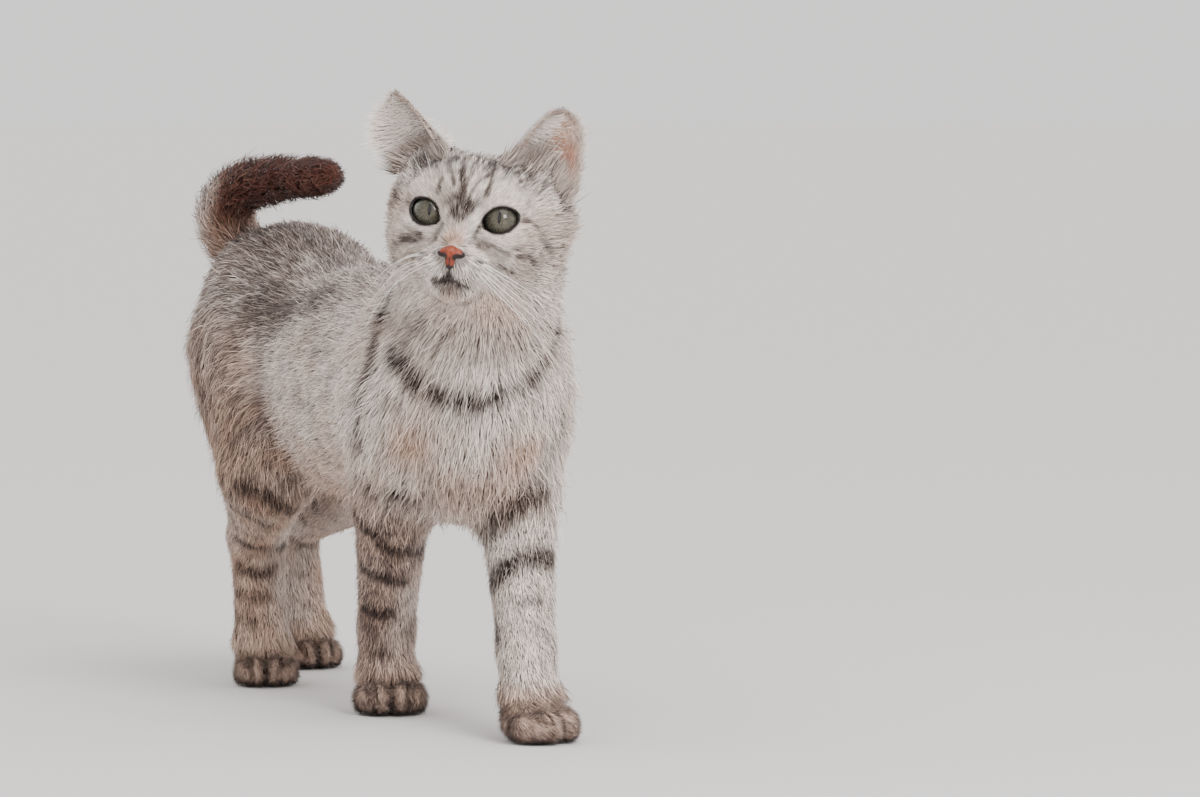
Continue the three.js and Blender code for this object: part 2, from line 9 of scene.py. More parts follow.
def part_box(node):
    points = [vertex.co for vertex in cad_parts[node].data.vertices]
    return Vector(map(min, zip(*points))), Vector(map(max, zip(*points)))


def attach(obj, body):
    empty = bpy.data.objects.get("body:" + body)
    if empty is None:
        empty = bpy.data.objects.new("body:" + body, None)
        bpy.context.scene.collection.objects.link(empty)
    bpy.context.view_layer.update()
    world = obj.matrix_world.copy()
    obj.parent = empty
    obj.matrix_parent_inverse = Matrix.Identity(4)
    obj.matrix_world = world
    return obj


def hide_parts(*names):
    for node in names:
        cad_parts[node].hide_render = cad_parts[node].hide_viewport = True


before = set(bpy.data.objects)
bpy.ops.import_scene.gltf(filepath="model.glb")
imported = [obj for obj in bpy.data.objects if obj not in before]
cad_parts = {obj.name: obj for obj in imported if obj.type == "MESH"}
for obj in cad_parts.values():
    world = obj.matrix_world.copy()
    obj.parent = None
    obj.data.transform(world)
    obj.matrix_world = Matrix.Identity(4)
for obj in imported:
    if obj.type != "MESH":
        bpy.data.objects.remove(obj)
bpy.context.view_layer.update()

rng = np.random.default_rng(11)
farAway, tiny = 1e9, 1e-9

# Everything is sculpted in millimetres in the cat's own stance, then moved to the model's frame in metres.

def turning(axis, degrees):
    return np.array(Matrix.Rotation(math.radians(degrees), 3, axis))

bearing = {"betweenEyes": (-26.3, -134.8, 286.5), "yaw": -33, "nod": -4, "tilt": 6.5}  # how the head is held
headPlace = np.array(bearing["betweenEyes"])
headTurn = turning("Z", bearing["yaw"]) @ turning("X", bearing["nod"]) @ turning("Y", bearing["tilt"])

def toHead(points):
    return (points - headPlace) @ headTurn

def fromHead(points):
    return np.asarray(points, float) @ headTurn.T + headPlace

def middleOf(node):  # in millimetres
    return np.mean(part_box(node), axis=0) * 1000

eyeCentre = np.array([19.3, -1, 0])
stanceShift = (middleOf("eye_left") + middleOf("eye_right")) / 2 - fromHead((0, eyeCentre[1], 0))

def toFrame(points):
    return (np.asarray(points, float) + stanceShift) / 1000

def rise(value, low, high):  # 0 below low, 1 above high, smooth between
    share = np.clip((value - low) / (high - low), 0, 1)
    return share * share * (3 - 2 * share)

def mix(a, b, share):
    return a + (b - a) * share

def unit(vectors):
    return vectors / np.maximum(np.linalg.norm(vectors, axis=-1, keepdims=True), tiny)

def noise(points, size, seed=0):  # smooth, from -1 to 1, with lumps of about this size
    cell = points / size
    low = np.floor(cell).astype(np.int64)
    part = cell - low
    part = part * part * (3 - 2 * part)
    total = np.zeros(len(points))
    for corner in range(8):
        step = np.array([corner & 1, corner >> 1 & 1, corner >> 2 & 1])
        key = (low + step) @ np.array([73856093, 19349663, 83492791]) + seed * 7919  # a fixed shuffle
        key = (key ^ (key >> 13)) * 1274126177
        value = ((key ^ (key >> 16)) & 0xFFFF) / 32767.5 - 1
        total += np.prod(np.where(step, part, 1 - part), axis=1) * value
    return total

def waver(points, size, amount, seed=0):  # the points, each moved a little by noise
    return points + amount * np.stack([noise(points, size, seed + n) for n in range(3)], axis=1)

# Form: distances to balls and limbs, joined with rounded fillets. Below zero is inside the cat.

def join(a, b, fillet):
    return np.minimum(a, b) - np.maximum(fillet - np.abs(a - b), 0) ** 2 / (4 * fillet)

def ball(centre, half, fillet, turn=(0, 0, 0)):
    pose = turning("Z", turn[2]) @ turning("Y", turn[1]) @ turning("X", turn[0])
    half = np.array(half, float)

    def distance(points):
        near = (points - centre) @ pose / half
        length = np.linalg.norm(near, axis=1)
        return length * (length - 1) / np.maximum(np.linalg.norm(near / half, axis=1), tiny)

    return {"distance": distance, "centre": np.array(centre, float), "reach": half.max(), "fillet": fillet}

def limb(a, b, ra, rb, fillet):  # a straight taper with round ends
    a, b = np.array(a, float), np.array(b, float)
    axis = b - a
    length2 = axis @ axis
    taper = ra - rb
    side2 = length2 - taper * taper

    def distance(points):
        off = points - a
        along = off @ axis
        past = along - length2
        off2 = ((off * length2 - np.outer(along, axis)) ** 2).sum(axis=1)
        bound = np.sign(taper) * taper * taper * off2
        past2, along2 = past * past * length2, along * along * length2
        body = (np.sqrt(off2 * side2 / length2) + along * taper) / length2 - ra
        low = np.sqrt(off2 + along2) / length2 - ra
        high = np.sqrt(off2 + past2) / length2 - rb
        return np.where(np.sign(past) * side2 * past2 > bound, high,
                        np.where(np.sign(along) * side2 * along2 < bound, low, body))

    reach = math.sqrt(length2) / 2 + max(ra, rb)
    return {"distance": distance, "centre": (a + b) / 2, "reach": reach, "fillet": fillet}

def blend(shapes, points):
    d = np.full(len(points), 1e3)
    for shape in shapes:
        off = points - shape["centre"]
        lower = np.sqrt(np.einsum("ij,ij->i", off, off)) - shape["reach"]
        close = np.flatnonzero(lower < d + shape["fillet"])
        if len(close):
            d[close] = join(d[close], shape["distance"](points[close]), shape["fillet"])
    return d

headShapes = [ball((0, 27, 6), (38, 41, 30), 8), ball((0, 3, 12), (25, 21, 18), 10)]
for s in (1, -1):
    headShapes += [
        ball((s * 23, 14, -12), (20, 26, 21), 12),
        ball((s * 30, 36, -12), (18, 21, 24), 12),
        ball((s * 34, 30, 7), (14, 19, 16), 9),
        ball((s * 24, 31, 24), (17, 11, 15), 9),
        ball((s * 21, -2, -13), (12, 11, 8), 9),
        ball((s * 20, -1, 11), (13, 9, 7), 8),
        ball((s * 9, -18, -27), (11.5, 12.5, 10), 8),
        limb((0, -10, -32), (s * 19, 20, -24), 11, 14, 8),
    ]
headShapes += [
    ball((45, 36, 1), (9, 11, 13), 8),
    limb((0, -1, 5), (0, -23, -15), 13, 8.5, 8),
    ball((0, -26.5, -21), (7.5, 6.5, 7.5), 6),
    ball((0, -15, -38), (10.5, 11, 8.5), 6),
]

trunkShapes = [
    ball((0, -62, 184), (50, 58, 61), 20),
    ball((0, -8, 187), (53, 84, 62), 40),
    ball((0, 72, 189), (53, 92, 62), 40),
    ball((0, 100, 152), (36, 56, 34), 20),
    ball((0, 158, 203), (54, 66, 62), 30),
    ball((0, 186, 235), (53, 42, 40), 20),
    ball((0, -98, 178), (37, 34, 46), 18),
    ball((0, -78, 148), (32, 40, 34), 18),
    limb((0, -80, 206), (-3, -96, 256), 53, 43, 20),
    ball((-12, -114, 242), (40, 27, 36), 16),
    ball((20, -94, 264), (31, 29, 30), 14),
]
for s in (1, -1):
    trunkShapes += [
        ball((s * 40, -62, 182), (20, 38, 52), 16, (0, s * 6, 0)),
        ball((s * 36, 166, 184), (24, 52, 60), 18),
    ]

fore = {"upper": (27, 22, 15), "lower": (22, 15.6, 11), "foot": (15.6, 14.8, 8), "heel": 3, "paw": 1.05}
hind = {"upper": (36, 28, 16), "lower": (27, 16.6, 11), "foot": (16.6, 15.2, 8), "heel": 6, "paw": 0.96}
legs = [
    dict(fore, top=(-36, -62, 178), bend=(-32, -46, 128), wrist=(-13, 10, 46), sole=(-14, 3, 0), turn=-20),
    dict(fore, top=(36, -68, 178), bend=(25, -88, 128), wrist=(13, -128, 46), sole=(8, -149, 0), turn=18),
    dict(hind, top=(-34, 172, 200), bend=(-39, 128, 132), wrist=(-22, 190, 86), sole=(-27, 163, 0),
         turn=-22),
    dict(hind, top=(34, 184, 200), bend=(36, 152, 126), wrist=(26, 258, 88), sole=(31, 240, 0), turn=-6),
]
footTop = 16
toes = [  # out from the middle, ahead, height, half size, splay
    (6.2, 14.5, 9.5, (7.6, 11.5, 10.5), 3),
    (14.2, 8, 8.5, (6, 11, 9), 9),
]
toeGaps = {"lines": (-10.8, 0, 10.8), "width": 0.8, "deep": 1.3, "halfPaw": 24, "ahead": 30}

def pawPoint(leg, x, y, z):
    c, s = math.cos(math.radians(leg["turn"])), math.sin(math.radians(leg["turn"]))
    size, sole = leg["paw"], leg["sole"]
    return (sole[0] + size * (c * x - s * y), sole[1] + size * (s * x + c * y), size * z)

def inPaw(leg, points):  # the paw's own frame: x across, toes towards -y
    return (points - leg["sole"]) @ turning("Z", leg["turn"]) / leg["paw"]

def legShapes(leg):
    ankle = (leg["sole"][0], leg["sole"][1] + leg["heel"], footTop)
    size = leg["paw"]
    shapes = [
        limb(leg["top"], leg["bend"], *leg["upper"]),
        limb(leg["bend"], leg["wrist"], *leg["lower"]),
        limb(leg["wrist"], ankle, *leg["foot"]),
        ball(pawPoint(leg, 0, 2, 10.5), (16.5 * size, 17 * size, 12.5 * size), 5, (0, 0, leg["turn"])),
    ]
    for s in (1, -1):
        for out, ahead, height, half, splay in toes:
            spot = pawPoint(leg, s * out, -ahead, height)
            shapes.append(ball(spot, np.array(half) * size, 2.5, (0, 0, leg["turn"] - s * splay)))
    return shapes

tailPoints = np.array([(-4, 198, 236), (-20, 216, 256), (-31, 218, 276), (-32, 202, 292), (-24, 172, 300),
                       (-14, 130, 303), (-10, 106, 304)], float)

def centripetal(points, share):  # a smooth curve through points, spread by the root of their spacing
    span = min(int(share * (len(points) - 1)), len(points) - 2)
    part = share * (len(points) - 1) - span
    p = [points[i] if 0 <= i < len(points) else None for i in range(span - 1, span + 3)]
    p[0] = 2 * p[1] - p[2] if p[0] is None else p[0]
    p[3] = 2 * p[2] - p[1] if p[3] is None else p[3]
    gaps = [np.linalg.norm(p[i + 1] - p[i]) ** 0.5 for i in range(3)]
    lean = [((p[i + 1] - p[i]) / gaps[i] - (p[i + 2] - p[i]) / (gaps[i] + gaps[i + 1])
             + (p[i + 2] - p[i + 1]) / gaps[i + 1]) * gaps[1] for i in range(2)]
    first, last = lean
    c2 = -3 * p[1] + 3 * p[2] - 2 * first - last
    c3 = 2 * p[1] - 2 * p[2] + first + last
    return p[1] + first * part + c2 * part**2 + c3 * part**3

tailSteps, tailRoot, tailThins = 14, 17, 8
tailLine = np.array([centripetal(tailPoints, n / tailSteps) for n in range(tailSteps + 1)])
tailRadii = [tailRoot - tailThins * n / tailSteps for n in range(tailSteps + 1)]
tailShapes = [limb(*tailLine[n:n + 2], *tailRadii[n:n + 2], 4) for n in range(tailSteps)]
legGroups = [legShapes(leg) for leg in legs]
bodyShapes = trunkShapes + [shape for group in legGroups for shape in group] + tailShapes
headReach, headFillet = 130, 10

def nearness(points, spread=6):  # how far each part holds a point: head, trunk, four legs, tail
    away = [blend(headShapes, toHead(points)), blend(trunkShapes, points)]
    away += [blend(group, points) for group in legGroups] + [blend(tailShapes, points)]
    away = np.stack(away, axis=1)
    share = np.exp((away.min(axis=1, keepdims=True) - away) / spread)
    return share / share.sum(axis=1, keepdims=True)

def betweenToes(points):  # 1 along the three lines between the toes of each paw
    found = np.zeros(len(points))
    near = np.flatnonzero(points[:, 2] < 30)
    for leg in legs:
        x, y, z = inPaw(leg, points[near]).T
        off = np.min([np.abs(x - c - 0.018 * (y + 12) * c) for c in toeGaps["lines"]], axis=0)
        line = np.exp(-(off / toeGaps["width"]) ** 2) * rise(-y, 5, 11) * rise(24 - z, 0, 5)
        here = (np.abs(x) < toeGaps["halfPaw"]) & (y > -toeGaps["ahead"])
        found[near] = np.maximum(found[near], np.where(here, line, 0))
    return found

def catForm(points):  # the outline of the coat's tips
    d = blend(bodyShapes, points)
    local = toHead(points)
    near = np.flatnonzero(np.linalg.norm(local, axis=1) <= headReach)
    d[near] = join(blend(headShapes, local[near]), d[near], headFillet)
    return d + toeGaps["deep"] * betweenToes(points)

# How deep the coat stands over the skin, in millimetres.
coat = {"trunk": 8.5, "chest": 11.5, "lowerLeg": 4.2, "paw": 1.9, "tailRoot": 7.5, "tailEnd": 4.2,
        "face": 1.9, "crown": 4.2, "cheek": 6.5}

def coatDepth(points):
    x, y, z = points.T
    depth = mix(coat["trunk"], coat["chest"], rise(-y, 30, 90))
    depth = mix(coat["lowerLeg"], depth, rise(z, 96, 138))
    depth = mix(coat["paw"], depth, rise(z, 18, 40))
    onTail = np.maximum(rise(z, 271, 282) * rise(y, 40, 70), rise(y, 202, 214) * rise(z, 225, 245))
    depth = mix(depth, mix(coat["tailEnd"], coat["tailRoot"], rise(y, 110, 215)), onTail)
    local = toHead(points)
    cheek = rise(np.abs(local[:, 0]), 22, 40) * (1 - rise(local[:, 2], -5, 14))
    headDepth = mix(mix(coat["crown"], coat["cheek"], cheek), coat["face"], 1 - rise(local[:, 1], -12, 20))
    onHead = 1 - rise(np.linalg.norm(local - (0, 20, -2), axis=1), 46, 68)
    return mix(depth, headDepth, onHead)

# Eyes: each lies in its own frame, x along the lids (outward positive), y into the head, z up.
eye = {"radius": 10.3, "lid": 11.2, "half": (10.2, 7.2), "power": 1.8, "slant": 20, "outward": 12}

def eyeFrame(side):
    return turning("Z", side * eye["outward"]) @ turning("Y", -side * eye["slant"]) @ np.diag([side, 1, 1])

def toEye(local, side):
    return (local - eyeCentre * (side, 1, 1)) @ eyeFrame(side)

def fromEye(points, side):
    return fromHead(np.asarray(points, float) @ eyeFrame(side).T + eyeCentre * (side, 1, 1))

def almond(near):  # below 1 is inside the eye's opening
    (a, h), power = eye["half"], eye["power"]
    return (np.abs(near[:, 0] / a) ** power + np.abs(near[:, 2] / h) ** power) ** (1 / power)

def shutAt(local):  # as almond, for the nearer eye, and never inside it behind the face
    return np.min([almond(toEye(local, side)) + 9 * (local[:, 1] > 6) for side in (1, -1)], axis=0)

def skinForm(points):
    d = catForm(points) + coatDepth(points)
    d = np.maximum(d, 0.8 - points[:, 2])
    local = toHead(points)
    face = np.flatnonzero((local[:, 1] < 12) & (np.abs(local[:, 0]) < 40) & (np.abs(local[:, 2]) < 22))
    for side in (1, -1):
        near = toEye(local[face], side)
        lid = join(d[face], np.linalg.norm(near, axis=1) - eye["lid"], 3)
        opening = (almond(near) - 1) * eye["half"][1]
        opening = np.where(near[:, 1] < 3, opening, 20)
        d[face] = np.where(np.linalg.norm(near, axis=1) < 30, np.maximum(lid, -opening), d[face])
    return d

# Net: one point in each cell of a graded grid that the surface crosses.

def stops(*stretches):  # each from, to, step
    found = [np.linspace(low, high, max(int(round((high - low) / step)), 1) + 1)[:-1]
             for low, high, step in stretches]
    return np.concatenate(found + [[stretches[-1][1]]])

def netOf(form, grid, block=4):
    size = [len(line) for line in grid]
    picks = [np.unique(np.append(np.arange(0, n, block), n - 1)) for n in size]
    coarseLines = [line[pick] for line, pick in zip(grid, picks)]
    coarseGrid = np.stack(np.meshgrid(*coarseLines, indexing="ij"), axis=-1)
    coarse = form(coarseGrid.reshape(-1, 3)).reshape(coarseGrid.shape[:3])
    nearest = [np.abs(np.arange(n)[:, None] - pick).argmin(axis=1) for n, pick in zip(size, picks)]
    value = coarse[np.ix_(*nearest)]
    wanted = np.zeros(size, bool)
    corners = [(a, b, c) for a in (0, 1) for b in (0, 1) for c in (0, 1)]
    cut = [slice(0, -1), slice(1, None)]
    closest = np.min([np.abs(coarse[cut[a], cut[b], cut[c]]) for a, b, c in corners], axis=0)
    widths = [np.diff(line) for line in coarseLines]
    diagonal = np.sqrt(sum(w**2 for w in np.meshgrid(*widths, indexing="ij")))
    for cell in np.argwhere(closest < 0.8 * diagonal):
        wanted[tuple(slice(pick[n], pick[n + 1] + 1) for pick, n in zip(picks, cell))] = True
    spots = np.argwhere(wanted)
    value[wanted] = form(np.stack([grid[axis][spots[:, axis]] for axis in range(3)], axis=1))
    inside = value < 0
    count = sum(inside[cut[a], cut[b], cut[c]].astype(np.int8) for a, b, c in corners)
    active = (count > 0) & (count < 8)
    cells = np.argwhere(active)
    total, crossings = np.zeros((len(cells), 3)), np.zeros(len(cells))
    for a in corners:
        for axis in range(3):
            if a[axis]:
                continue
            b = tuple(v + (n == axis) for n, v in enumerate(a))
            va, vb = value[tuple((cells + a).T)], value[tuple((cells + b).T)]
            crossed = (va < 0) != (vb < 0)
            share = np.where(crossed, va / np.where(crossed, va - vb, 1), 0)
            spot = np.array(a, float) + share[:, None] * (np.array(b) - a)
            total += spot * crossed[:, None]
            crossings += crossed
    spots = cells + total / crossings[:, None]
    points = np.stack([np.interp(spots[:, n], np.arange(size[n]), grid[n]) for n in range(3)], axis=1)
    number = np.full(active.shape, -1)
    number[active] = np.arange(len(cells))
    quads = []
    for axis in range(3):
        second, third = (axis + 1) % 3, (axis + 2) % 3
        low, high = [slice(None)] * 3, [slice(None)] * 3
        low[axis], high[axis] = slice(0, -1), slice(1, None)
        changes = np.argwhere(inside[tuple(low)] != inside[tuple(high)])
        keep = np.all([(changes[:, n] > 0) & (changes[:, n] < size[n] - 1) for n in (second, third)], axis=0)
        changes = changes[keep]
        ring = []
        for b, c in ((0, 0), (1, 0), (1, 1), (0, 1)):
            cell = changes.copy()
            cell[:, second] -= b
            cell[:, third] -= c
            ring.append(number[tuple(cell.T)])
        ring = np.stack(ring, axis=1)
        outward = inside[tuple(changes.T)]
        quads.append(np.where(outward[:, None], ring, ring[:, ::-1]))
    return points, np.concatenate(quads)

def slopeOf(form, points, feel=0.4):
    steps = np.eye(3) * feel
    return np.stack([form(points + s) - form(points - s) for s in steps], axis=1) / (2 * feel)

def settle(form, points, passes=2):
    for _ in range(passes):
        slope = slopeOf(form, points)
        points = points - slope * (form(points) / np.maximum((slope**2).sum(axis=1), 0.25))[:, None]
    return points

# Ears: a cupped sheet between an inner and an outer edge, in the head's frame.
ears = {
    "Left": {"inner": (18, 10, 34), "innerBow": (31, 15, 59), "innerTip": (39, 24, 64.6),
             "outer": (53, 33, 18), "outerBow": (60, 33, 50), "outerTip": (46.4, 27, 63.8)},
    "Right": {"inner": (-20, 10, 34), "innerBow": (-38, 15, 57), "innerTip": (-51, 24, 63.5),
              "outer": (-44, 40, 24), "outerBow": (-72, 44, 32), "outerTip": (-54, 27, 62.5)},
}
earShell = {"bulge": 15, "front": 0.5, "back": 1.9, "sunk": 9, "rows": 26, "columns": 18, "cap": 0.16,
            "blunt": 0.9}

def bow(a, b, c, t):
    return np.outer((1 - t) ** 2, a) + np.outer(2 * t * (1 - t), b) + np.outer(t * t, c)

def earSheet(ear, u, t, wall):  # u runs from the inner to the outer edge, t from the foot to the tip
    inner, outer, innerTip, outerTip = (np.array(ear[k], float)
                                        for k in ("inner", "outer", "innerTip", "outerTip"))
    up = unit(innerTip + outerTip - inner - outer)
    back = unit(np.cross(outer - inner, up))
    back = back * np.sign(back[1])
    high = np.clip(t, 0, 1)
    one, two = bow(inner, ear["innerBow"], innerTip, high), bow(outer, ear["outerBow"], outerTip, high)
    inset = (1 - np.sqrt(1 - earShell["blunt"] * np.maximum((high - 1) / earShell["cap"] + 1, 0) ** 2)) / 2
    cup = earShell["bulge"] * np.sin(np.pi * np.clip(u, 0, 1)) ** 0.8 * (1 - high) ** 0.7
    cup = cup + wall * np.sin(np.pi * (0.12 + 0.76 * np.clip(u, 0, 1)))
    points = mix(one, two, (inset + (1 - 2 * inset) * u)[:, None])
    return fromHead(points + cup[:, None] * back + np.minimum(t, 0)[:, None] * earShell["sunk"] * up)

def earMesh(ear):
    rows, columns = earShell["rows"], earShell["columns"]
    t = np.concatenate([[-1, -0.5], np.linspace(0, 1, rows) ** 0.85])
    tt, uu = np.meshgrid(t, np.linspace(0, 1, columns), indexing="ij")
    sheets = [earSheet(ear, uu.ravel(), tt.ravel(), earShell[wall]) for wall in ("front", "back")]
    number = np.arange(tt.size).reshape(tt.shape)
    a, b, c, d = number[:-1, :-1], number[:-1, 1:], number[1:, 1:], number[1:, :-1]
    front = np.stack([a, b, c, d], axis=-1).reshape(-1, 4)
    border = np.concatenate([number[0, :-1], number[:-1, -1], number[-1, :0:-1], number[:0:-1, 0]])
    after = np.roll(border, -1)
    wall = np.stack([border, border + tt.size, after + tt.size, after], axis=1)
    quads = np.concatenate([front, front[:, ::-1] + tt.size, wall])
    if ear["inner"][0] < 0:
        quads = quads[:, ::-1]
    inside = np.repeat([1.0, 0.0], tt.size)
    return np.concatenate(sheets), quads, inside, np.tile(tt.ravel(), 2), np.tile(uu.ravel(), 2)

# Markings. Each stroke is a path in millimetres, its half width and its strength. Most of the paths' points
# were worked out once by another script, which set spots picked by eye onto the solids.
faceStrokes = [  # in the head's frame: brow, temples, cheeks, bridge, whisker rows, mouth, painted shade under the mouth
    (((-2.8, -11.5, 25.5), (-2.1, -15.2, 21.6), (0.4, -17.2, 17.6), (-0.2, -18.4, 13.4), (-0.4, -20, 5)),
     2.1, 0.95),
    (((-0.4, -20, 5), (1, -21.9, 0)), 1.4, 0.6),
    (((2.1, -4, 30.2), (2.9, -12.4, 24.8), (2.2, -15.5, 21.3)), 1.2, 0.7),
    (((-3, 12, 36), (-4, -2, 31), (-2.8, -11.5, 25.5)), 1.9, 0.6),
    (((9.6, 14.8, 33.8), (12.4, -5.4, 27.1), (12.9, -9, 24.5)), 2.2, 0.95),
    (((14.5, -11.3, 21.2), (14.1, -14.4, 15.2), (13.7, -14.9, 12.7)), 1.6, 0.9),
    (((10.5, -11.5, 23.7), (8.4, -14.5, 20.8), (6.3, -16.9, 16.7), (5.2, -17.9, 14)), 1.0, 0.75),
    (((-8.8, -10.8, 24.8), (-7.4, -15.3, 20.1), (-5.5, -17, 17)), 1.2, 0.8),
    (((-9, 13, 34), (-12.5, -2, 28.5), (-9.5, -11.1, 24.3)), 1.6, 0.7),
    (((-13.7, -13, 19.5), (-14.5, -14.4, 14.4), (-15, -14.6, 11.8)), 1.6, 0.9),
    (((-18, 14, 32), (-19, 0, 25)), 1.7, 0.5),
    (((20, 12, 31), (19, -2, 24)), 1.7, 0.5),
    (((-9, -17.7, 9), (-4.6, -20, 3.6), (0.6, -22.5, -0.9)), 1.9, 0.6),
    (((8.8, -17.8, 8.6), (5.6, -19.8, 2.3), (0.6, -22.5, -0.9)), 1.9, 0.6),
    (((-6, -18.6, 9.5), (6, -18.8, 8.5)), 2.3, 0.45),
    (((-41.5, 16.3, 13.6), (-42.9, 14, 7.4), (-44.8, 16.5, 2.3)), 3.2, 0.8),
    (((-42, 8.7, -5.3), (-42.2, 7.1, -8.8)), 2.6, 0.6),
    (((-30, -7, 3), (-38, 3, 5), (-42, 12, 5)), 1.7, 0.6),
    (((-32.7, -9.3, -16.7), (-26.1, -13.4, -16.1), (-21.9, -14.4, -14)), 3.0, 0.85),
    (((-31, -9.3, -9), (-24.5, -13.4, -12)), 2.0, 0.5),
    (((32, -5.9, 2.7), (36.9, 1.9, 1.1), (40.6, 7.5, -1.5), (42.6, 9.5, -6.2)), 1.7, 0.75),
    (((42.6, 9.5, -6.2), (44.6, 16.3, -10.8), (46.2, 22.2, -13.7)), 2.6, 0.95),
    (((15.3, -14.7, -14.2), (19.6, -14.6, -14.9), (27.2, -12.3, -18.1), (30.2, -10.3, -18.1)), 1.6, 0.6),
    (((31.5, -10.8, -14.6), (34.5, -8.4, -14.1)), 1.5, 0.8),
    (((34, -6.8, -18.7), (38.1, -1.4, -18), (40.4, 8.6, -21.6)), 2.0, 0.9),
    (((-34, -6, -19), (-41, 10, -21)), 2.3, 0.5),
    (((48.5, 33.4, 9.8), (47, 31, 16)), 4.9, 0.95),
    (((21.1, 15, 30.1), (26.4, 15.8, 27.4)), 2.0, 0.5),
    (((-22, 16, 32), (-28, 17, 27)), 2.9, 0.5),
    (((11.8, -16, -5.1), (11, -17.1, -10.2), (12.3, -17.1, -14.2)), 1.3, 1.0),
    (((-10.4, -18.3, -6.1), (-11.9, -16.2, -10.4), (-12.1, -17.6, -13.8)), 1.3, 1.0),
    (((-6.9, -27.5, -12.8), (-5.4, -30.2, -14.3)), 1.2, 0.5),
    (((8.5, -25.2, -13.3), (9.3, -24.3, -14)), 1.2, 0.45),
    (((14.5, -28.1, -24.3), (19.7, -18.7, -24.2), (23.9, -6.7, -25.8), (29.8, 0.1, -28.2)), 1.1, 0.95),
    (((12.7, -29, -28.7), (17.2, -26, -28.5), (19.5, -8.6, -28.9), (22.3, -4.6, -29.2)), 1.0, 0.9),
    (((-28, -6.2, -24.4), (-17.5, -24.1, -22.7), (-13.4, -27.9, -22.6)), 1.1, 0.95),
    (((-26.3, -4.6, -27.1), (-16.5, -27.2, -25.9)), 1.0, 0.9),
    (((-0.7, -27.7, -34.4), (-4.3, -26.6, -36.8), (-8.9, -24, -38)), 2.2, 0.95),
    (((-0.7, -27.7, -34.4), (1.6, -27, -36.6), (6.5, -24.7, -38.2), (9.5, -21.5, -39)), 1.7, 0.8),
    (((0.2, -30.9, -28.5), (-0.4, -28.5, -34.4)), 1.2, 0.9),
    # painted shade under the mouth and on the chin
    (((-4, -25, -40), (5, -24.5, -40.5)), 3.2, 0.35),
    (((-4, -27, -37), (0, -27, -37.6), (5, -26.6, -37.8)), 2.2, 0.95),
]
flankStrokes = [  # the same on both sides of the body; x is the distance out
    (((47, -75, 244), (55, -80, 227), (59.5, -83, 211), (63, -76, 194), (63, -71, 175), (61, -66, 157)),
     3.4, 1.0),
    (((51, 105, 200), (53, 110, 185), (54, 111, 168), (56, 112, 157)), 5, 0.4),
    (((69, 162, 206), (69, 160, 186), (68, 156, 166), (64, 158, 148)), 5, 0.45),
    (((53, -30, 222), (58, -26, 195)), 3.5, 0.25),
    (((54, 12, 222), (57, 16, 195), (56, 16, 172)), 4, 0.25),
    (((50, 62, 222), (56, 66, 195)), 4, 0.25),
    (((60, 138, 215), (64, 136, 190)), 4, 0.35),
]
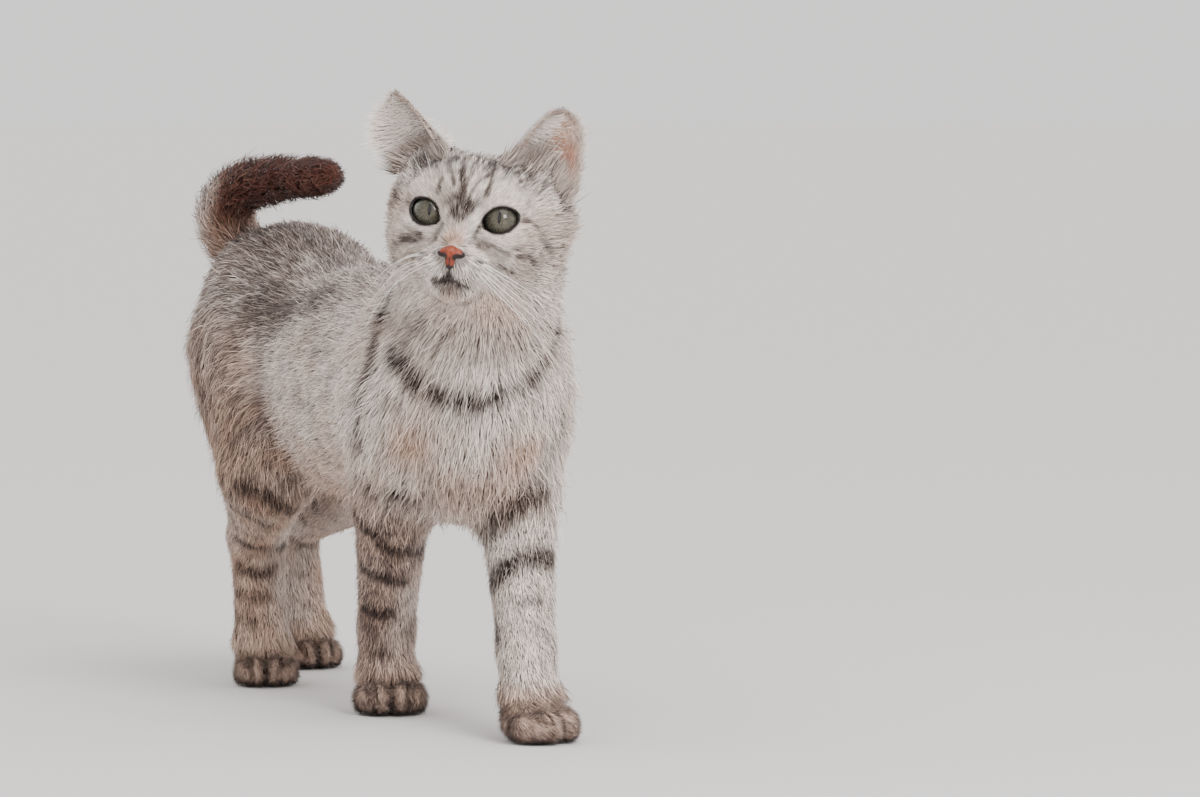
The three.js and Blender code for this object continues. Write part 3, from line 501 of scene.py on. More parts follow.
ownStrokes = [  # necklace, shoulder, then the bands of each leg
    (((-53, -98, 209), (-47, -108, 198), (-41, -116, 191), (-34, -121, 187), (-27, -127, 184),
      (-20, -131, 184)), 6.4, 1.0),
    (((-20, -131, 184), (-12, -134, 185), (-4, -135, 188)), 3.8, 0.95),
    (((-4, -135, 188), (5, -135, 191), (14, -134, 197), (24, -129, 205)), 4.0, 0.95),
    (((24, -129, 205), (31, -125, 214), (38, -116, 224)), 3.4, 0.7),
    (((-32, -134, 223), (-38, -130, 222), (-37, -127, 216), (-42, -119, 209)), 1.4, 0.5),
    (((-51, -108, 228), (-47, -121, 225), (-53, -100, 216)), 5.5, 0.35),
    (((-19, -140, 229), (-15, -138, 219)), 0.9, 0.45),
    (((-17, -139, 226), (-7, -139, 218)), 0.9, 0.4),
    (((-16, -137, 216), (-13, -136, 207)), 0.9, 0.45),
    (((-21, -137, 220), (-20, -135, 212)), 0.9, 0.4),
    (((-17, -133, 185), (-18, -130, 175), (-15, -127, 163)), 1.1, 0.45),
    (((-5, -135, 184), (2, -133, 173)), 0.9, 0.4),
    (((-22, -123, 166), (-27, -118, 155)), 1.1, 0.4),
    (((4, -124, 150), (10, -125, 148)), 1.2, 0.35),
    (((-57, -92, 181), (-52, -100, 184), (-49, -102, 176)), 3.5, 0.4),
    (((-56, -60, 136), (-52, -63, 130)), 4.2, 0.8),
    (((-46, -73, 131), (-42, -76, 128), (-32, -80, 125)), 3.4, 0.9),
    (((-54, -43, 118), (-50, -45, 112), (-45, -51, 106), (-38, -48, 100), (-30, -47, 97), (-14, -42, 96)),
     4.6, 1.0),
    (((-43, -24, 85), (-38, -28, 84), (-32, -33, 81), (-21, -33, 78)), 4.2, 0.9),
    (((-35, -6, 60), (-23, -18, 59)), 4.2, 0.95),
    (((-27, 0, 36), (-18, -6, 33)), 3.8, 0.7),
    (((-3, -92, 104), (2, -104, 112), (8, -112, 120), (16, -115, 127), (30, -113, 131)), 6.0, 0.9),
    (((-4, -106, 80), (0, -114, 87), (6, -119, 92), (16, -122, 98), (31, -120, 96)), 7.0, 0.9),
    (((9, -131, 74), (19, -132, 75)), 3.0, 0.6),
    (((1, -114, 61), (-2, -126, 52)), 4.0, 0.8),
    (((15, -139, 60), (21, -139, 55)), 3.2, 0.6),
    (((-63, 116, 122), (-58, 108, 120), (-52, 105, 118), (-44, 106, 114), (-37, 109, 110), (-28, 116, 106)),
     4.6, 0.9),
    (((-60, 140, 108), (-54, 132, 105), (-47, 129, 102), (-36, 134, 99)), 4.2, 0.85),
    (((-42, 172, 86), (-36, 168, 84), (-29, 166, 82), (-14, 172, 82)), 4.4, 0.8),
    (((-40, 180, 70), (-30, 168, 66), (-20, 170, 68)), 4.2, 0.8),
    (((-40, 180, 54), (-34, 168, 52), (-26, 164, 52)), 3.6, 0.65),
    (((-41, 178, 40), (-34, 163, 37)), 3.4, 0.55),
    (((-30, 104, 116), (-20, 100, 114), (0, 120, 112)), 4.5, 0.35),
    (((4, 176, 112), (16, 186, 104), (30, 190, 100)), 6, 0.85),
    (((12, 206, 96), (24, 210, 90), (36, 216, 92)), 5, 0.8),
    (((16, 234, 80), (30, 238, 76), (40, 240, 76)), 4.2, 0.6),
    (((42, 252, 62), (20, 250, 60)), 4, 0.45),
]

def nearPath(points, path):  # distance to a path of straight lengths
    path = np.array(path, float)
    nearest = np.full(len(points), farAway)
    for a, b in zip(path[:-1], path[1:]):
        along = np.clip((points - a) @ (b - a) / ((b - a) @ (b - a)), 0, 1)
        nearest = np.minimum(nearest, ((points - a - along[:, None] * (b - a)) ** 2).sum(axis=1))
    return np.sqrt(nearest)

def strokesOn(points, strokes, edge):  # edge: how soft a stroke's sides are, as a share of its half width
    dark = np.zeros(len(points))
    for path, width, strength in strokes:
        low = np.min(path, axis=0) - 2 * width - 2
        high = np.max(path, axis=0) + 2 * width + 2
        close = np.flatnonzero(((points > low) & (points < high)).all(axis=1))
        if len(close):
            away = nearPath(points[close], path)
            mark = strength * (1 - rise(away, width * (1 - edge), width * (1 + edge)))
            dark[close] = 1 - (1 - dark[close]) * (1 - mark)
    return dark

def patch(points, centre, half):  # 1 at the centre, fading to nothing
    return np.exp(-(((points - centre) / half) ** 2).sum(axis=1))

def patches(points, *spots):  # several, each with its strength
    return sum(strength * patch(points, centre, half) for strength, centre, half in spots)

def markings(points):  # dark: brown-black marks; shade: grey ticking; warm: tan; each from 0 to 1
    x, y, z = points.T
    shares = nearness(points)
    local = toHead(points)
    lx, ly, lz = local.T
    onHead = shares[:, 0]
    fine = noise(points, 3.5, 5)
    broad = noise(points, 14, 9)
    mottle = noise(points * (1, 1, 0.6), 7, 21)
    outer = np.abs(x)
    mirrored = np.stack([outer, y, z], axis=1)

    # Trunk: ticked grey along the back, paler down the sides and chest.
    behind = rise(y, -60, 20)
    ticking = (0.3 * mottle + 0.16 * fine) * behind
    shade = mix(0.16, 0.55, rise(z, 190, 246)) * (0.25 + 0.75 * behind) + ticking
    shade = shade + 0.22 * rise(y, 60, 150) + 0.3 * (1 - rise(outer, 4, 14)) * rise(z, 235, 250) * behind
    saddle = patches(mirrored, (1, (45, 112, 226), (16, 24, 17)), (0.85, (41, 45, 236), (14, 20, 11)),
                     (0.6, (46, 80, 232), (12, 30, 10)), (0.5, (30, 165, 262), (22, 26, 12)))
    shade = shade + 0.6 * np.clip(saddle, 0, 1.2)
    warm = 0.2 + 0.16 * broad + 0.22 * (1 - rise(z, 130, 175)) * behind
    warm = warm + 0.3 * rise(y, 90, 160) * (1 - rise(z, 200, 235))
    front = rise(-y, 66, 96) * rise(z, 112, 140)
    shade = mix(shade, 0.08 + 0.08 * fine + 0.06 * broad, front)
    throatward = patch(points, (-16, -134, 238), (22, 22, 16))
    warm = mix(warm, 0.16 + 0.12 * broad + 0.4 * throatward, front)
    # the first two tan patches are the chest's own colour; the third, with the grey patch after it, is
    # painted shadow under the chest between the forelegs
    tan = patches(points, (1, (-45, -98, 158), (13, 16, 14)), (1, (14, -124, 155), (15, 14, 14)),
                  (0.8, (-10, -112, 132), (30, 26, 14)))
    warm = warm + 0.55 * tan
    shade = shade + 0.3 * patch(points, (-14, -108, 130), (26, 26, 10)) + 0.15 * tan
    under = (1 - rise(z, 122, 160)) * rise(y, -60, 0) * (1 - rise(y, 200, 230))
    shade = mix(shade, 0.1 + 0.15 * mottle, under * 0.8)
    warm = warm + 0.12 * under

    # Legs: brown-grey on the right fore and the hind legs, pale on the left fore.
    rightFore, leftFore = (1 - rise(z, 108, 162)) * shares[:, 2], (1 - rise(z, 92, 134)) * shares[:, 3]
    hinder = (1 - rise(z, 130, 188)) * (shares[:, 4] + shares[:, 5])
    inward = rise(x, -32, -14) * (1 - rise(x, 26, 40))
    hindmost = rise(y - 0.35 * z, 105, 150) * hinder
    shade = mix(shade, 0.16 + 0.5 * rise(-x, 6, 28) + 0.22 * mottle + 0.12 * fine, rightFore)
    lower = 1 - rise(z, 75, 110)
    shade = mix(shade, mix(0.42, 0.12, lower) + 0.24 * mottle + 0.14 * fine - 0.3 * inward, hinder)
    shade = mix(shade, 0.06 + 0.08 * fine + 0.08 * mottle, leftFore)
    warm = mix(warm, 0.6 + 0.2 * broad - 0.25 * inward, np.maximum(rightFore, hinder))
    warm = mix(warm, 0.16 + 0.1 * mottle, leftFore)
    thigh = patch(mirrored, (58, 132, 165), (24, 34, 26))
    shade, warm = shade + 0.25 * thigh, warm + 0.25 * thigh
    feet = 1 - rise(z, 20, 36)
    onFore = shares[:, 2] + shares[:, 3]
    footShade = mix(0.18, 0.44, onFore) + 0.24 * fine + 0.45 * noise(points, 2.0, 17)
    # painted shade: the paws darker low down, towards the floor
    footShade = footShade + 0.3 * (1 - rise(z, 3, 14))
    shade = mix(shade, footShade, feet)
    warm = mix(warm, 0.58, feet)
    blotch = rise(mottle + 0.5 * fine, 0.2, 0.6)

    dark = strokesOn(waver(points, 8, 1.2, 31), ownStrokes, 0.5)
    dark = np.maximum(dark, strokesOn(waver(mirrored, 9, 1.0, 41), flankStrokes, 0.6))
    dark = np.maximum(dark, 0.45 * np.clip(saddle, 0, 1) * (0.6 + 0.5 * mottle))
    dark = np.maximum(dark, 0.28 * blotch * np.maximum(hinder * mix(1, 0.4, lower), rightFore)
                      + 0.3 * hindmost * (1 - 0.7 * lower))
    dark = dark * (1 - 0.25 * rise(noise(points, 4, 23), 0.1, 0.5))
    # painted shade in the creases between the toes
    line = rise(betweenToes(points), 0.15, 0.6) * (0.6 + 0.4 * rise(noise(points, 3, 29), -0.4, 0.0))
    # dark low on the paw: the soles' own leather, and painted shade on the fur just above the floor
    soleAndFloorShade = (1 - rise(z, 1.5, 5)) * 0.85
    for leg in legs:  # painted shade in the creases between the toes, and dark under the toes: the soles' own leather, with painted shade on the fur just above the floor
        across, along, _ = np.abs(inPaw(leg, points)).T
        foot = (across < toeGaps["halfPaw"]) & (along < toeGaps["ahead"]) & (z < 30)
        dark = np.where(foot, np.maximum(dark, np.maximum(line, soleAndFloorShade)), dark)

    # Tail: dark towards its end and below, pale and fringed on the outside near the root.
    tailward = shares[:, 6]
    hanging = rise(-(y - 196) + 0.6 * (z - 285), -30, 8)
    tailDark = mix(0.48, 0.97, hanging) + 0.1 * mottle
    outside = rise(y + 0.7 * (z - 285) - x * 0.3, 208, 222) * (1 - rise(z, 298, 306))
    tailDark = mix(tailDark, 0.06, outside)
    tailDark = tailDark * (1 - 0.35 * rise(noise(points, 5, 19), 0.1, 0.6) * (1 - hanging) * 0.6)
    dark = mix(dark, np.clip(tailDark, 0, 1), tailward)
    shade = mix(shade, 0.22, tailward)
    warm = mix(warm, mix(0.85, 0.3, outside), tailward)

    # Head: streaks on the brow, mottled crown, pale spectacles, cheeks and muzzle.
    crown = rise(lz, 16, 30) * rise(ly, -20, 0)
    back = rise(ly, 26, 50)
    fleck = noise(local * (1, 0.5, 0.6), 2.2, 87)
    drawn = noise(local * (1.3, 0.28, 0.5), 2, 91)  # drawn out along the coat
    headShade = 0.12 + 0.38 * crown + 0.2 * back + (0.1 + 0.25 * crown) * drawn + 0.1 * fine
    cheekward = rise(np.abs(lx), 26, 40) * (1 - rise(lz, 4, 18))
    between = (1 - rise(np.abs(lx), 3, 12)) * rise(lz, -2, 6) * (1 - rise(lz, 14, 20))
    headShade = headShade + 0.07 * cheekward + 0.2 * between
    around = np.min([np.abs(almond(toEye(local, s)) - 1.32) + 9 * (ly > 8) for s in (1, -1)], axis=0)
    headShade = headShade - 0.2 * (1 - rise(around, 0.1, 0.45))
    muzzle = (1 - rise(ly, -22, -8)) * (1 - rise(lz, -24, -15))
    headShade = mix(headShade, 0.0, muzzle)
    bridge = (1 - rise(np.abs(lx), 4, 9)) * (1 - rise(lz, 0, 8)) * rise(lz, -20, -14)
    bridge = bridge * (1 - rise(ly, -18, -8))
    # painted shade, warm, under the chin
    paintedChinShade = patch(local, (0, -18, -46), (12, 12, 7))
    headShade = headShade * (0.25 + 0.75 * rise(lz, -40, -26))
    # the first spot is painted shade under the mouth
    spots = ((0.55, (2, -25, -40), (8, 9, 4)), (0.35, (-26, -12, -13), (9, 12, 6)),
             (0.2, (33, 0, -14), (12, 16, 9)))
    headShade = headShade + patches(local, *spots)
    earward = patch(np.abs(local) * (1, 0, 1) + local * (0, 1, 0), (33, 18, 24), (14, 14, 9))
    headShade = headShade + 0.25 * earward
    headWarm = 0.12 + 0.12 * broad + 0.55 * bridge * (1 - rise(lz, -14, 0)) + 0.25 * cheekward
    headWarm = headWarm + 0.35 * paintedChinShade - 0.1 * crown
    headWarm = mix(headWarm, 0.04 + 0.4 * bridge, muzzle * (1 - paintedChinShade))
    broken = rise(noise(local * (1, 0.6, 0.6), 1.5, 93), -0.6, -0.1)
    wavered = waver(local, 3.2, 0.7, 51)
    reach = [np.abs(path)[:, 0].max() for path, _, _ in faceStrokes]
    headDark = strokesOn(wavered, [s for s, out in zip(faceStrokes, reach) if out > 33], 0.5)
    squash = np.array([1, 0.3, 1])  # strokes on the front of the face are read nearly flat
    flat = [(np.array(s[0]) * squash, *s[1:]) for s, out in zip(faceStrokes, reach) if out <= 33]
    headDark = np.maximum(headDark, strokesOn(wavered * squash, flat, 0.45) * rise(-ly, -16, -8))
    headDark = headDark * (0.6 + 0.4 * broken)
    flecked = 1.6 * patch(local, (0, -19, 5), (10, 9, 8)) + 0.6 * crown * (1 - rise(ly, -12, 0))
    headDark = np.maximum(headDark, np.clip(flecked, 0, 0.95) * rise(fleck, -0.35, 0.05))
    headDark = np.maximum(headDark, 0.75 * crown * (1 - 0.8 * back) * rise(drawn, -0.25, 0.6))
    headDark = np.maximum(headDark, 0.55 * np.clip(1.3 * earward, 0, 1) * rise(drawn, -0.1, 0.5))
    shade = mix(shade, headShade, onHead)
    warm = mix(warm, headWarm, onHead)
    dark = mix(dark, np.clip(headDark, 0, 1), onHead)
    return {"dark": np.clip(dark, 0, 1), "shade": np.clip(shade, 0, 1), "warm": np.clip(warm, 0, 1)}

# Meshes.

def addMesh(name, points, faces, material, slot, inFrame=False, **marks):
    mesh = bpy.data.meshes.new(name)
    points = points if inFrame else toFrame(points)
    faces = np.asarray(faces)
    sides = faces.shape[1]
    mesh.vertices.add(len(points))
    mesh.vertices.foreach_set("co", np.ascontiguousarray(points, np.float32).ravel())
    mesh.loops.add(faces.size)
    mesh.loops.foreach_set("vertex_index", np.ascontiguousarray(faces, np.int32).ravel())
    mesh.polygons.add(len(faces))
    mesh.polygons.foreach_set("loop_start", np.arange(0, faces.size, sides, dtype=np.int32))
    mesh.update(calc_edges=True)
    mesh.shade_smooth()
    for mark, values in marks.items():
        values = np.asarray(values, np.float32)
        if values.ndim == 1:
            mesh.attributes.new(mark, "FLOAT", "POINT").data.foreach_set("value", values)
        else:
            mesh.attributes.new(mark, "FLOAT_VECTOR", "POINT").data.foreach_set("vector", values.ravel())
    mesh.materials.append(material)
    piece = bpy.data.objects.new(name, mesh)
    bpy.context.scene.collection.objects.link(piece)
    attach(piece, "root")
    return piece

def normalsOf(points, quads):
    a, b, c, d = (points[quads[:, n]] for n in range(4))
    face = np.cross(c - a, d - b)
    total = np.zeros_like(points)
    for n in range(4):
        for axis in range(3):
            total[:, axis] += np.bincount(quads[:, n], face[:, axis], len(points))
    return unit(total)

# Finishes.

def paint(red, green, blue):  # a colour as it is seen, from 0 to 255, in linear light
    seen = np.array([red, green, blue]) / 255
    linear = np.where(seen <= 0.04045, seen / 12.92, ((seen + 0.055) / 1.055) ** 2.4)
    return (*linear.tolist(), 1)

class Finish:
    def __init__(self, name, **sockets):
        self.material = bpy.data.materials.new(name)
        self.material.use_nodes = True
        self.tree = self.material.node_tree
        self.shader = self.tree.nodes["Principled BSDF"]
        for socket, value in sockets.items():
            self.shader.inputs[socket.replace("_", " ")].default_value = value

    def node(self, kind, **values):
        made = self.tree.nodes.new(kind)
        for name, value in values.items():
            setattr(made, name, value)
        return made

    def link(self, source, target):
        self.tree.links.new(source, target)

    def mark(self, name):
        return self.node("ShaderNodeAttribute", attribute_name=name)

    def mixed(self, share, a, b, blend="MIX"):
        made = self.node("ShaderNodeMix", data_type="RGBA", blend_type=blend)
        for socket, value in ((0, share), (6, a), (7, b)):
            if isinstance(value, bpy.types.NodeSocket):
                self.link(value, made.inputs[socket])
            else:
                made.inputs[socket].default_value = value
        return made.outputs[2]

    def math(self, operation, *values):
        made = self.node("ShaderNodeMath", operation=operation)
        for socket, value in enumerate(values):
            if isinstance(value, bpy.types.NodeSocket):
                self.link(value, made.inputs[socket])
            else:
                made.inputs[socket].default_value = value
        return made.outputs[0]

    def ramp(self, factor, *tones):
        made = self.node("ShaderNodeValToRGB")
        while len(made.color_ramp.elements) < len(tones):
            made.color_ramp.elements.new(0.5)
        for element, (place, colour) in zip(made.color_ramp.elements, tones):
            element.position = place
            element.color = colour if len(colour) == 4 else (*colour, 1)
        self.link(factor, made.inputs[0])
        return made.outputs[0]

    def grain(self, scale, detail, roughness=0.6, vector=None):
        made = self.node("ShaderNodeTexNoise")
        for socket, value in (("Scale", scale), ("Detail", detail), ("Roughness", roughness)):
            made.inputs[socket].default_value = value
        if vector is None:
            vector = self.node("ShaderNodeTexCoord").outputs["Object"]
        self.link(vector, made.inputs["Vector"])
        return made.outputs["Fac"]

    def bump(self, height, strength, distance):
        made = self.node("ShaderNodeBump")
        made.inputs["Strength"].default_value = strength
        made.inputs["Distance"].default_value = distance
        self.link(height, made.inputs["Height"])
        self.link(made.outputs["Normal"], self.shader.inputs["Normal"])

fur = {"pale": paint(242, 231, 222), "grey": paint(104, 88, 82), "brown": paint(40, 20, 13),
       "tan": paint(206, 150, 116), "rust": paint(74, 21, 6),
       "root": 0.6, "tip": 1.12,  # how light a hair is along its length: partly the hair's own banding, partly painted shade deep in the coat
       "least": 0.52, "most": 1.4,  # and from hair to hair
       "sheen": 0.1, "roughness": 0.7, "specular": 0.25}

def furColour(finish, darkest="brown"):
    names = ("dark", "shade", "warm", "along", "chance")
    marks = {name: finish.mark(name).outputs["Fac"] for name in names}
    colour = finish.mixed(marks["warm"], fur["pale"], fur["tan"])
    colour = finish.mixed(marks["shade"], colour, fur["grey"])
    colour = finish.mixed(marks["dark"], colour, fur[darkest])
    along = finish.math("MULTIPLY_ADD", marks["along"], fur["tip"] - fur["root"], fur["root"])
    chance = finish.math("MULTIPLY_ADD", marks["chance"], fur["most"] - fur["least"], fur["least"])
    light = finish.math("MULTIPLY", along, chance)
    tone = finish.node("ShaderNodeCombineColor")
    for socket in tone.inputs:
        finish.link(light, socket)
    return finish.mixed(1.0, colour, tone.outputs[0], "MULTIPLY")

def coatFinish(name, darkest="brown"):
    finish = Finish(name, Roughness=fur["roughness"], Specular_IOR_Level=fur["specular"],
                    Sheen_Weight=fur["sheen"], Sheen_Roughness=0.5)
    finish.link(furColour(finish, darkest), finish.shader.inputs["Base Color"])
    return finish.material

under = {"pink": paint(160, 92, 78), "bare": paint(24, 19, 18)}

def skinFinish():  # short underfur, with bare black rims and pink inside the ears
    finish = Finish("skinUnderfur", Roughness=0.75, Specular_IOR_Level=0.25)
    colour = furColour(finish)
    for mark in under:
        colour = finish.mixed(finish.mark(mark).outputs["Fac"], colour, under[mark])
    finish.link(colour, finish.shader.inputs["Base Color"])
    finish.bump(finish.grain(900, 4), 0.5, 0.0006)
    return finish.material

coatMaterial, pawMaterial = coatFinish("furBody"), coatFinish("furPaws")
tailMaterial = coatFinish("furTail", "rust")
skinMaterial = skinFinish()

# Skin: a net over the form, with the ear sheets set into it.
skinGrid = [stops((-76, -66, 3.4), (-66, 46, 1.3), (46, 76, 3)),
            stops((-182, -100, 1.3), (-100, 279, 3.2)),
            stops((-4, 40, 2), (40, 236, 3.2), (236, 334, 1.3))]
skinPoints, skinQuads = netOf(skinForm, skinGrid)
skinPoints = settle(skinForm, skinPoints)
skinNormals = normalsOf(skinPoints, skinQuads)
fleshNodes = ["head", "neck", "chest", "belly", "hips"] + [f"tail_{n}" for n in range(1, 5)]
fleshNodes += [f"{part}_{side}" for side in ("left", "right")
               for part in ("ear", "upper_arm", "forearm", "forepaw", "thigh", "shank", "hindpaw")]
earPink = {"Left": 1.0, "Right": 0.15}

def addSkin():
    depth = coatDepth(skinPoints)
    points, quads, outline = [skinPoints], [skinQuads], [skinPoints + skinNormals * depth[:, None]]
    pink, bare = [np.zeros(len(skinPoints))], [1 - rise(shutAt(toHead(skinPoints)), 1.04, 1.2)]
    count = len(skinPoints)
    for name, ear in ears.items():
        sheet, faces, inside, t, u = earMesh(ear)
        points.append(sheet)
        outline.append(sheet)
        quads.append(faces + count)
        count += len(sheet)
        low = rise(t, -0.2, 0.1) * (1 - 0.75 * rise(t, 0.3, 0.65))
        pink.append(earPink[name] * inside * low * rise(1 - abs(2 * u - 1), 0.0, 0.25))
        bare.append(np.zeros(len(sheet)))
    points = np.concatenate(points)
    marks = markings(np.concatenate(outline))
    for mark, value in (("dark", 0), ("shade", 0.08), ("warm", 0.25)):  # on the ears' own sheets
        marks[mark][len(skinPoints):] = value
    # the skin takes a dark tone near the hairs' roots: painted shade between the tufts
    skin = addMesh("skin", points, np.concatenate(quads), skinMaterial, "coat", pink=np.concatenate(pink),
                   bare=np.concatenate(bare), along=np.full(len(points), 0.25),
                   chance=0.5 + 0.4 * noise(points, 1.6, 77), **marks)
    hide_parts(*fleshNodes)
    print("skin", len(points), "points")

addSkin()

# Coat: closed tufts that lie along the body, their tips at the cat's outline.
tuft = {"bend": 0.45, "rise": 0.82, "thick": 0.3, "sink": 0.6, "short": 2.6, "patch": 0.0015}
throat = np.array([-12, -126, 258])

def legPath(leg):  # from the shoulder or hip to the toes
    foot = [pawPoint(leg, 0, 0, 13), pawPoint(leg, 0, -26, 4)]
    return np.array([leg["top"], leg["bend"], leg["wrist"], *foot], float)

def weighed(points, path, spreading):  # how much each length of a path counts at a point
    near = np.stack([nearPath(points, path[n:n + 2]) for n in range(len(path) - 1)], axis=1)
    return np.exp((near.min(axis=1, keepdims=True) - near) / spreading)

def lieOf(points, shares):  # which way the coat runs
    x, y, z = points.T
    local = toHead(points)
    head = unit(local - (0, -29, -17))
    for place in (1, -1):  # round the eyes
        near = toEye(local, place)
        close = np.exp(-np.maximum(almond(near) - 1, 0) / 0.3) * (near[:, 1] < 4)
        head = head + 1.6 * close[:, None] * (unit(near * (1, 0, 1)) @ eyeFrame(place).T)
    head = unit(head) @ headTurn.T
    side = rise(np.abs(x), 10, 40)
    drop = -0.32 * side - 1.6 * rise(y, 150, 225) * (1 - rise(z, 215, 262))
    trunk = np.stack([0 * x, 1 + 0 * y, drop], axis=1)
    fan = points - throat
    fan[:, 0] += 16 * np.sign(x + 6) * np.exp(-np.abs(x + 6) / 9) * rise(-z, -220, -200)
    fanned = rise(-y, 48, 92) * (1 - rise(-z, -150, -120) * rise(y, -92, -70))
    flows = [head, unit(mix(unit(trunk), unit(fan), fanned[:, None]))]
    for leg in legs:
        path = legPath(leg)
        steps = np.diff(path, axis=0)
        steps[0] += (0, 14, -10)  # the upper leg's coat runs back
        flows.append(unit(weighed(points, path, 5) @ unit(steps)))
    flows.append(unit(weighed(points, tailLine, 4) @ np.diff(tailLine, axis=0)))
    return unit(np.einsum("np,npk->nk", shares, np.stack(flows, axis=1)))

def aroundPath(points, path):  # place on a tube about a path: turn round it, share along it
    path, across = np.array(path, float), np.array([1.0, 0, 0])
    lengths = np.linalg.norm(np.diff(path, axis=0), axis=1)
    starts = np.concatenate([[0], np.cumsum(lengths)])
    best = np.full(len(points), farAway)
    turn, share = np.zeros(len(points)), np.zeros(len(points))
    for n, (a, b) in enumerate(zip(path[:-1], path[1:])):
        axis = (b - a) / lengths[n]
        first = unit(across - axis * (axis @ across))
        off = points - a
        reachOn = off @ axis
        held = np.clip(reachOn, 0, lengths[n])
        away = np.linalg.norm(off - held[:, None] * axis, axis=1)
        closer = away < best
        best = np.where(closer, away, best)
        angle = np.arctan2(off @ np.cross(axis, first), off @ first) / (2 * np.pi) + 0.5
        beyond = reachOn if n in (0, len(lengths) - 1) else held
        turn = np.where(closer, angle, turn)
        share = np.where(closer, (starts[n] + beyond) / starts[-1], share)
    return np.stack([turn, 0.06 + 0.88 * np.clip(share, -0.07, 1.07)], axis=1)

def overHead(points):  # place on a globe about the head
    local = toHead(points) - (0, 22, -2)
    length = np.linalg.norm(local, axis=1)
    return np.stack([np.arctan2(local[:, 0], -local[:, 1]) / (2 * np.pi) + 0.5,
                     np.arcsin(local[:, 2] / length) / np.pi + 0.5], axis=1)

def tile(place, column, columns):  # one of several side by side in the unwrap
    return np.stack([(column + 0.02 + 0.96 * place[:, 0]) / columns, place[:, 1]], axis=1)

tally = []

def pick(values, chosen):
    return {name: part[chosen] for name, part in values.items()}

def scattered(count):  # pairs from 0 to 1, evenly spread
    steps = (0.7548776662, 0.5698402910)  # a sequence that never falls into rows
    return [(np.arange(count) * step + rng.uniform(0, 0.3, count)) % 1 for step in steps]

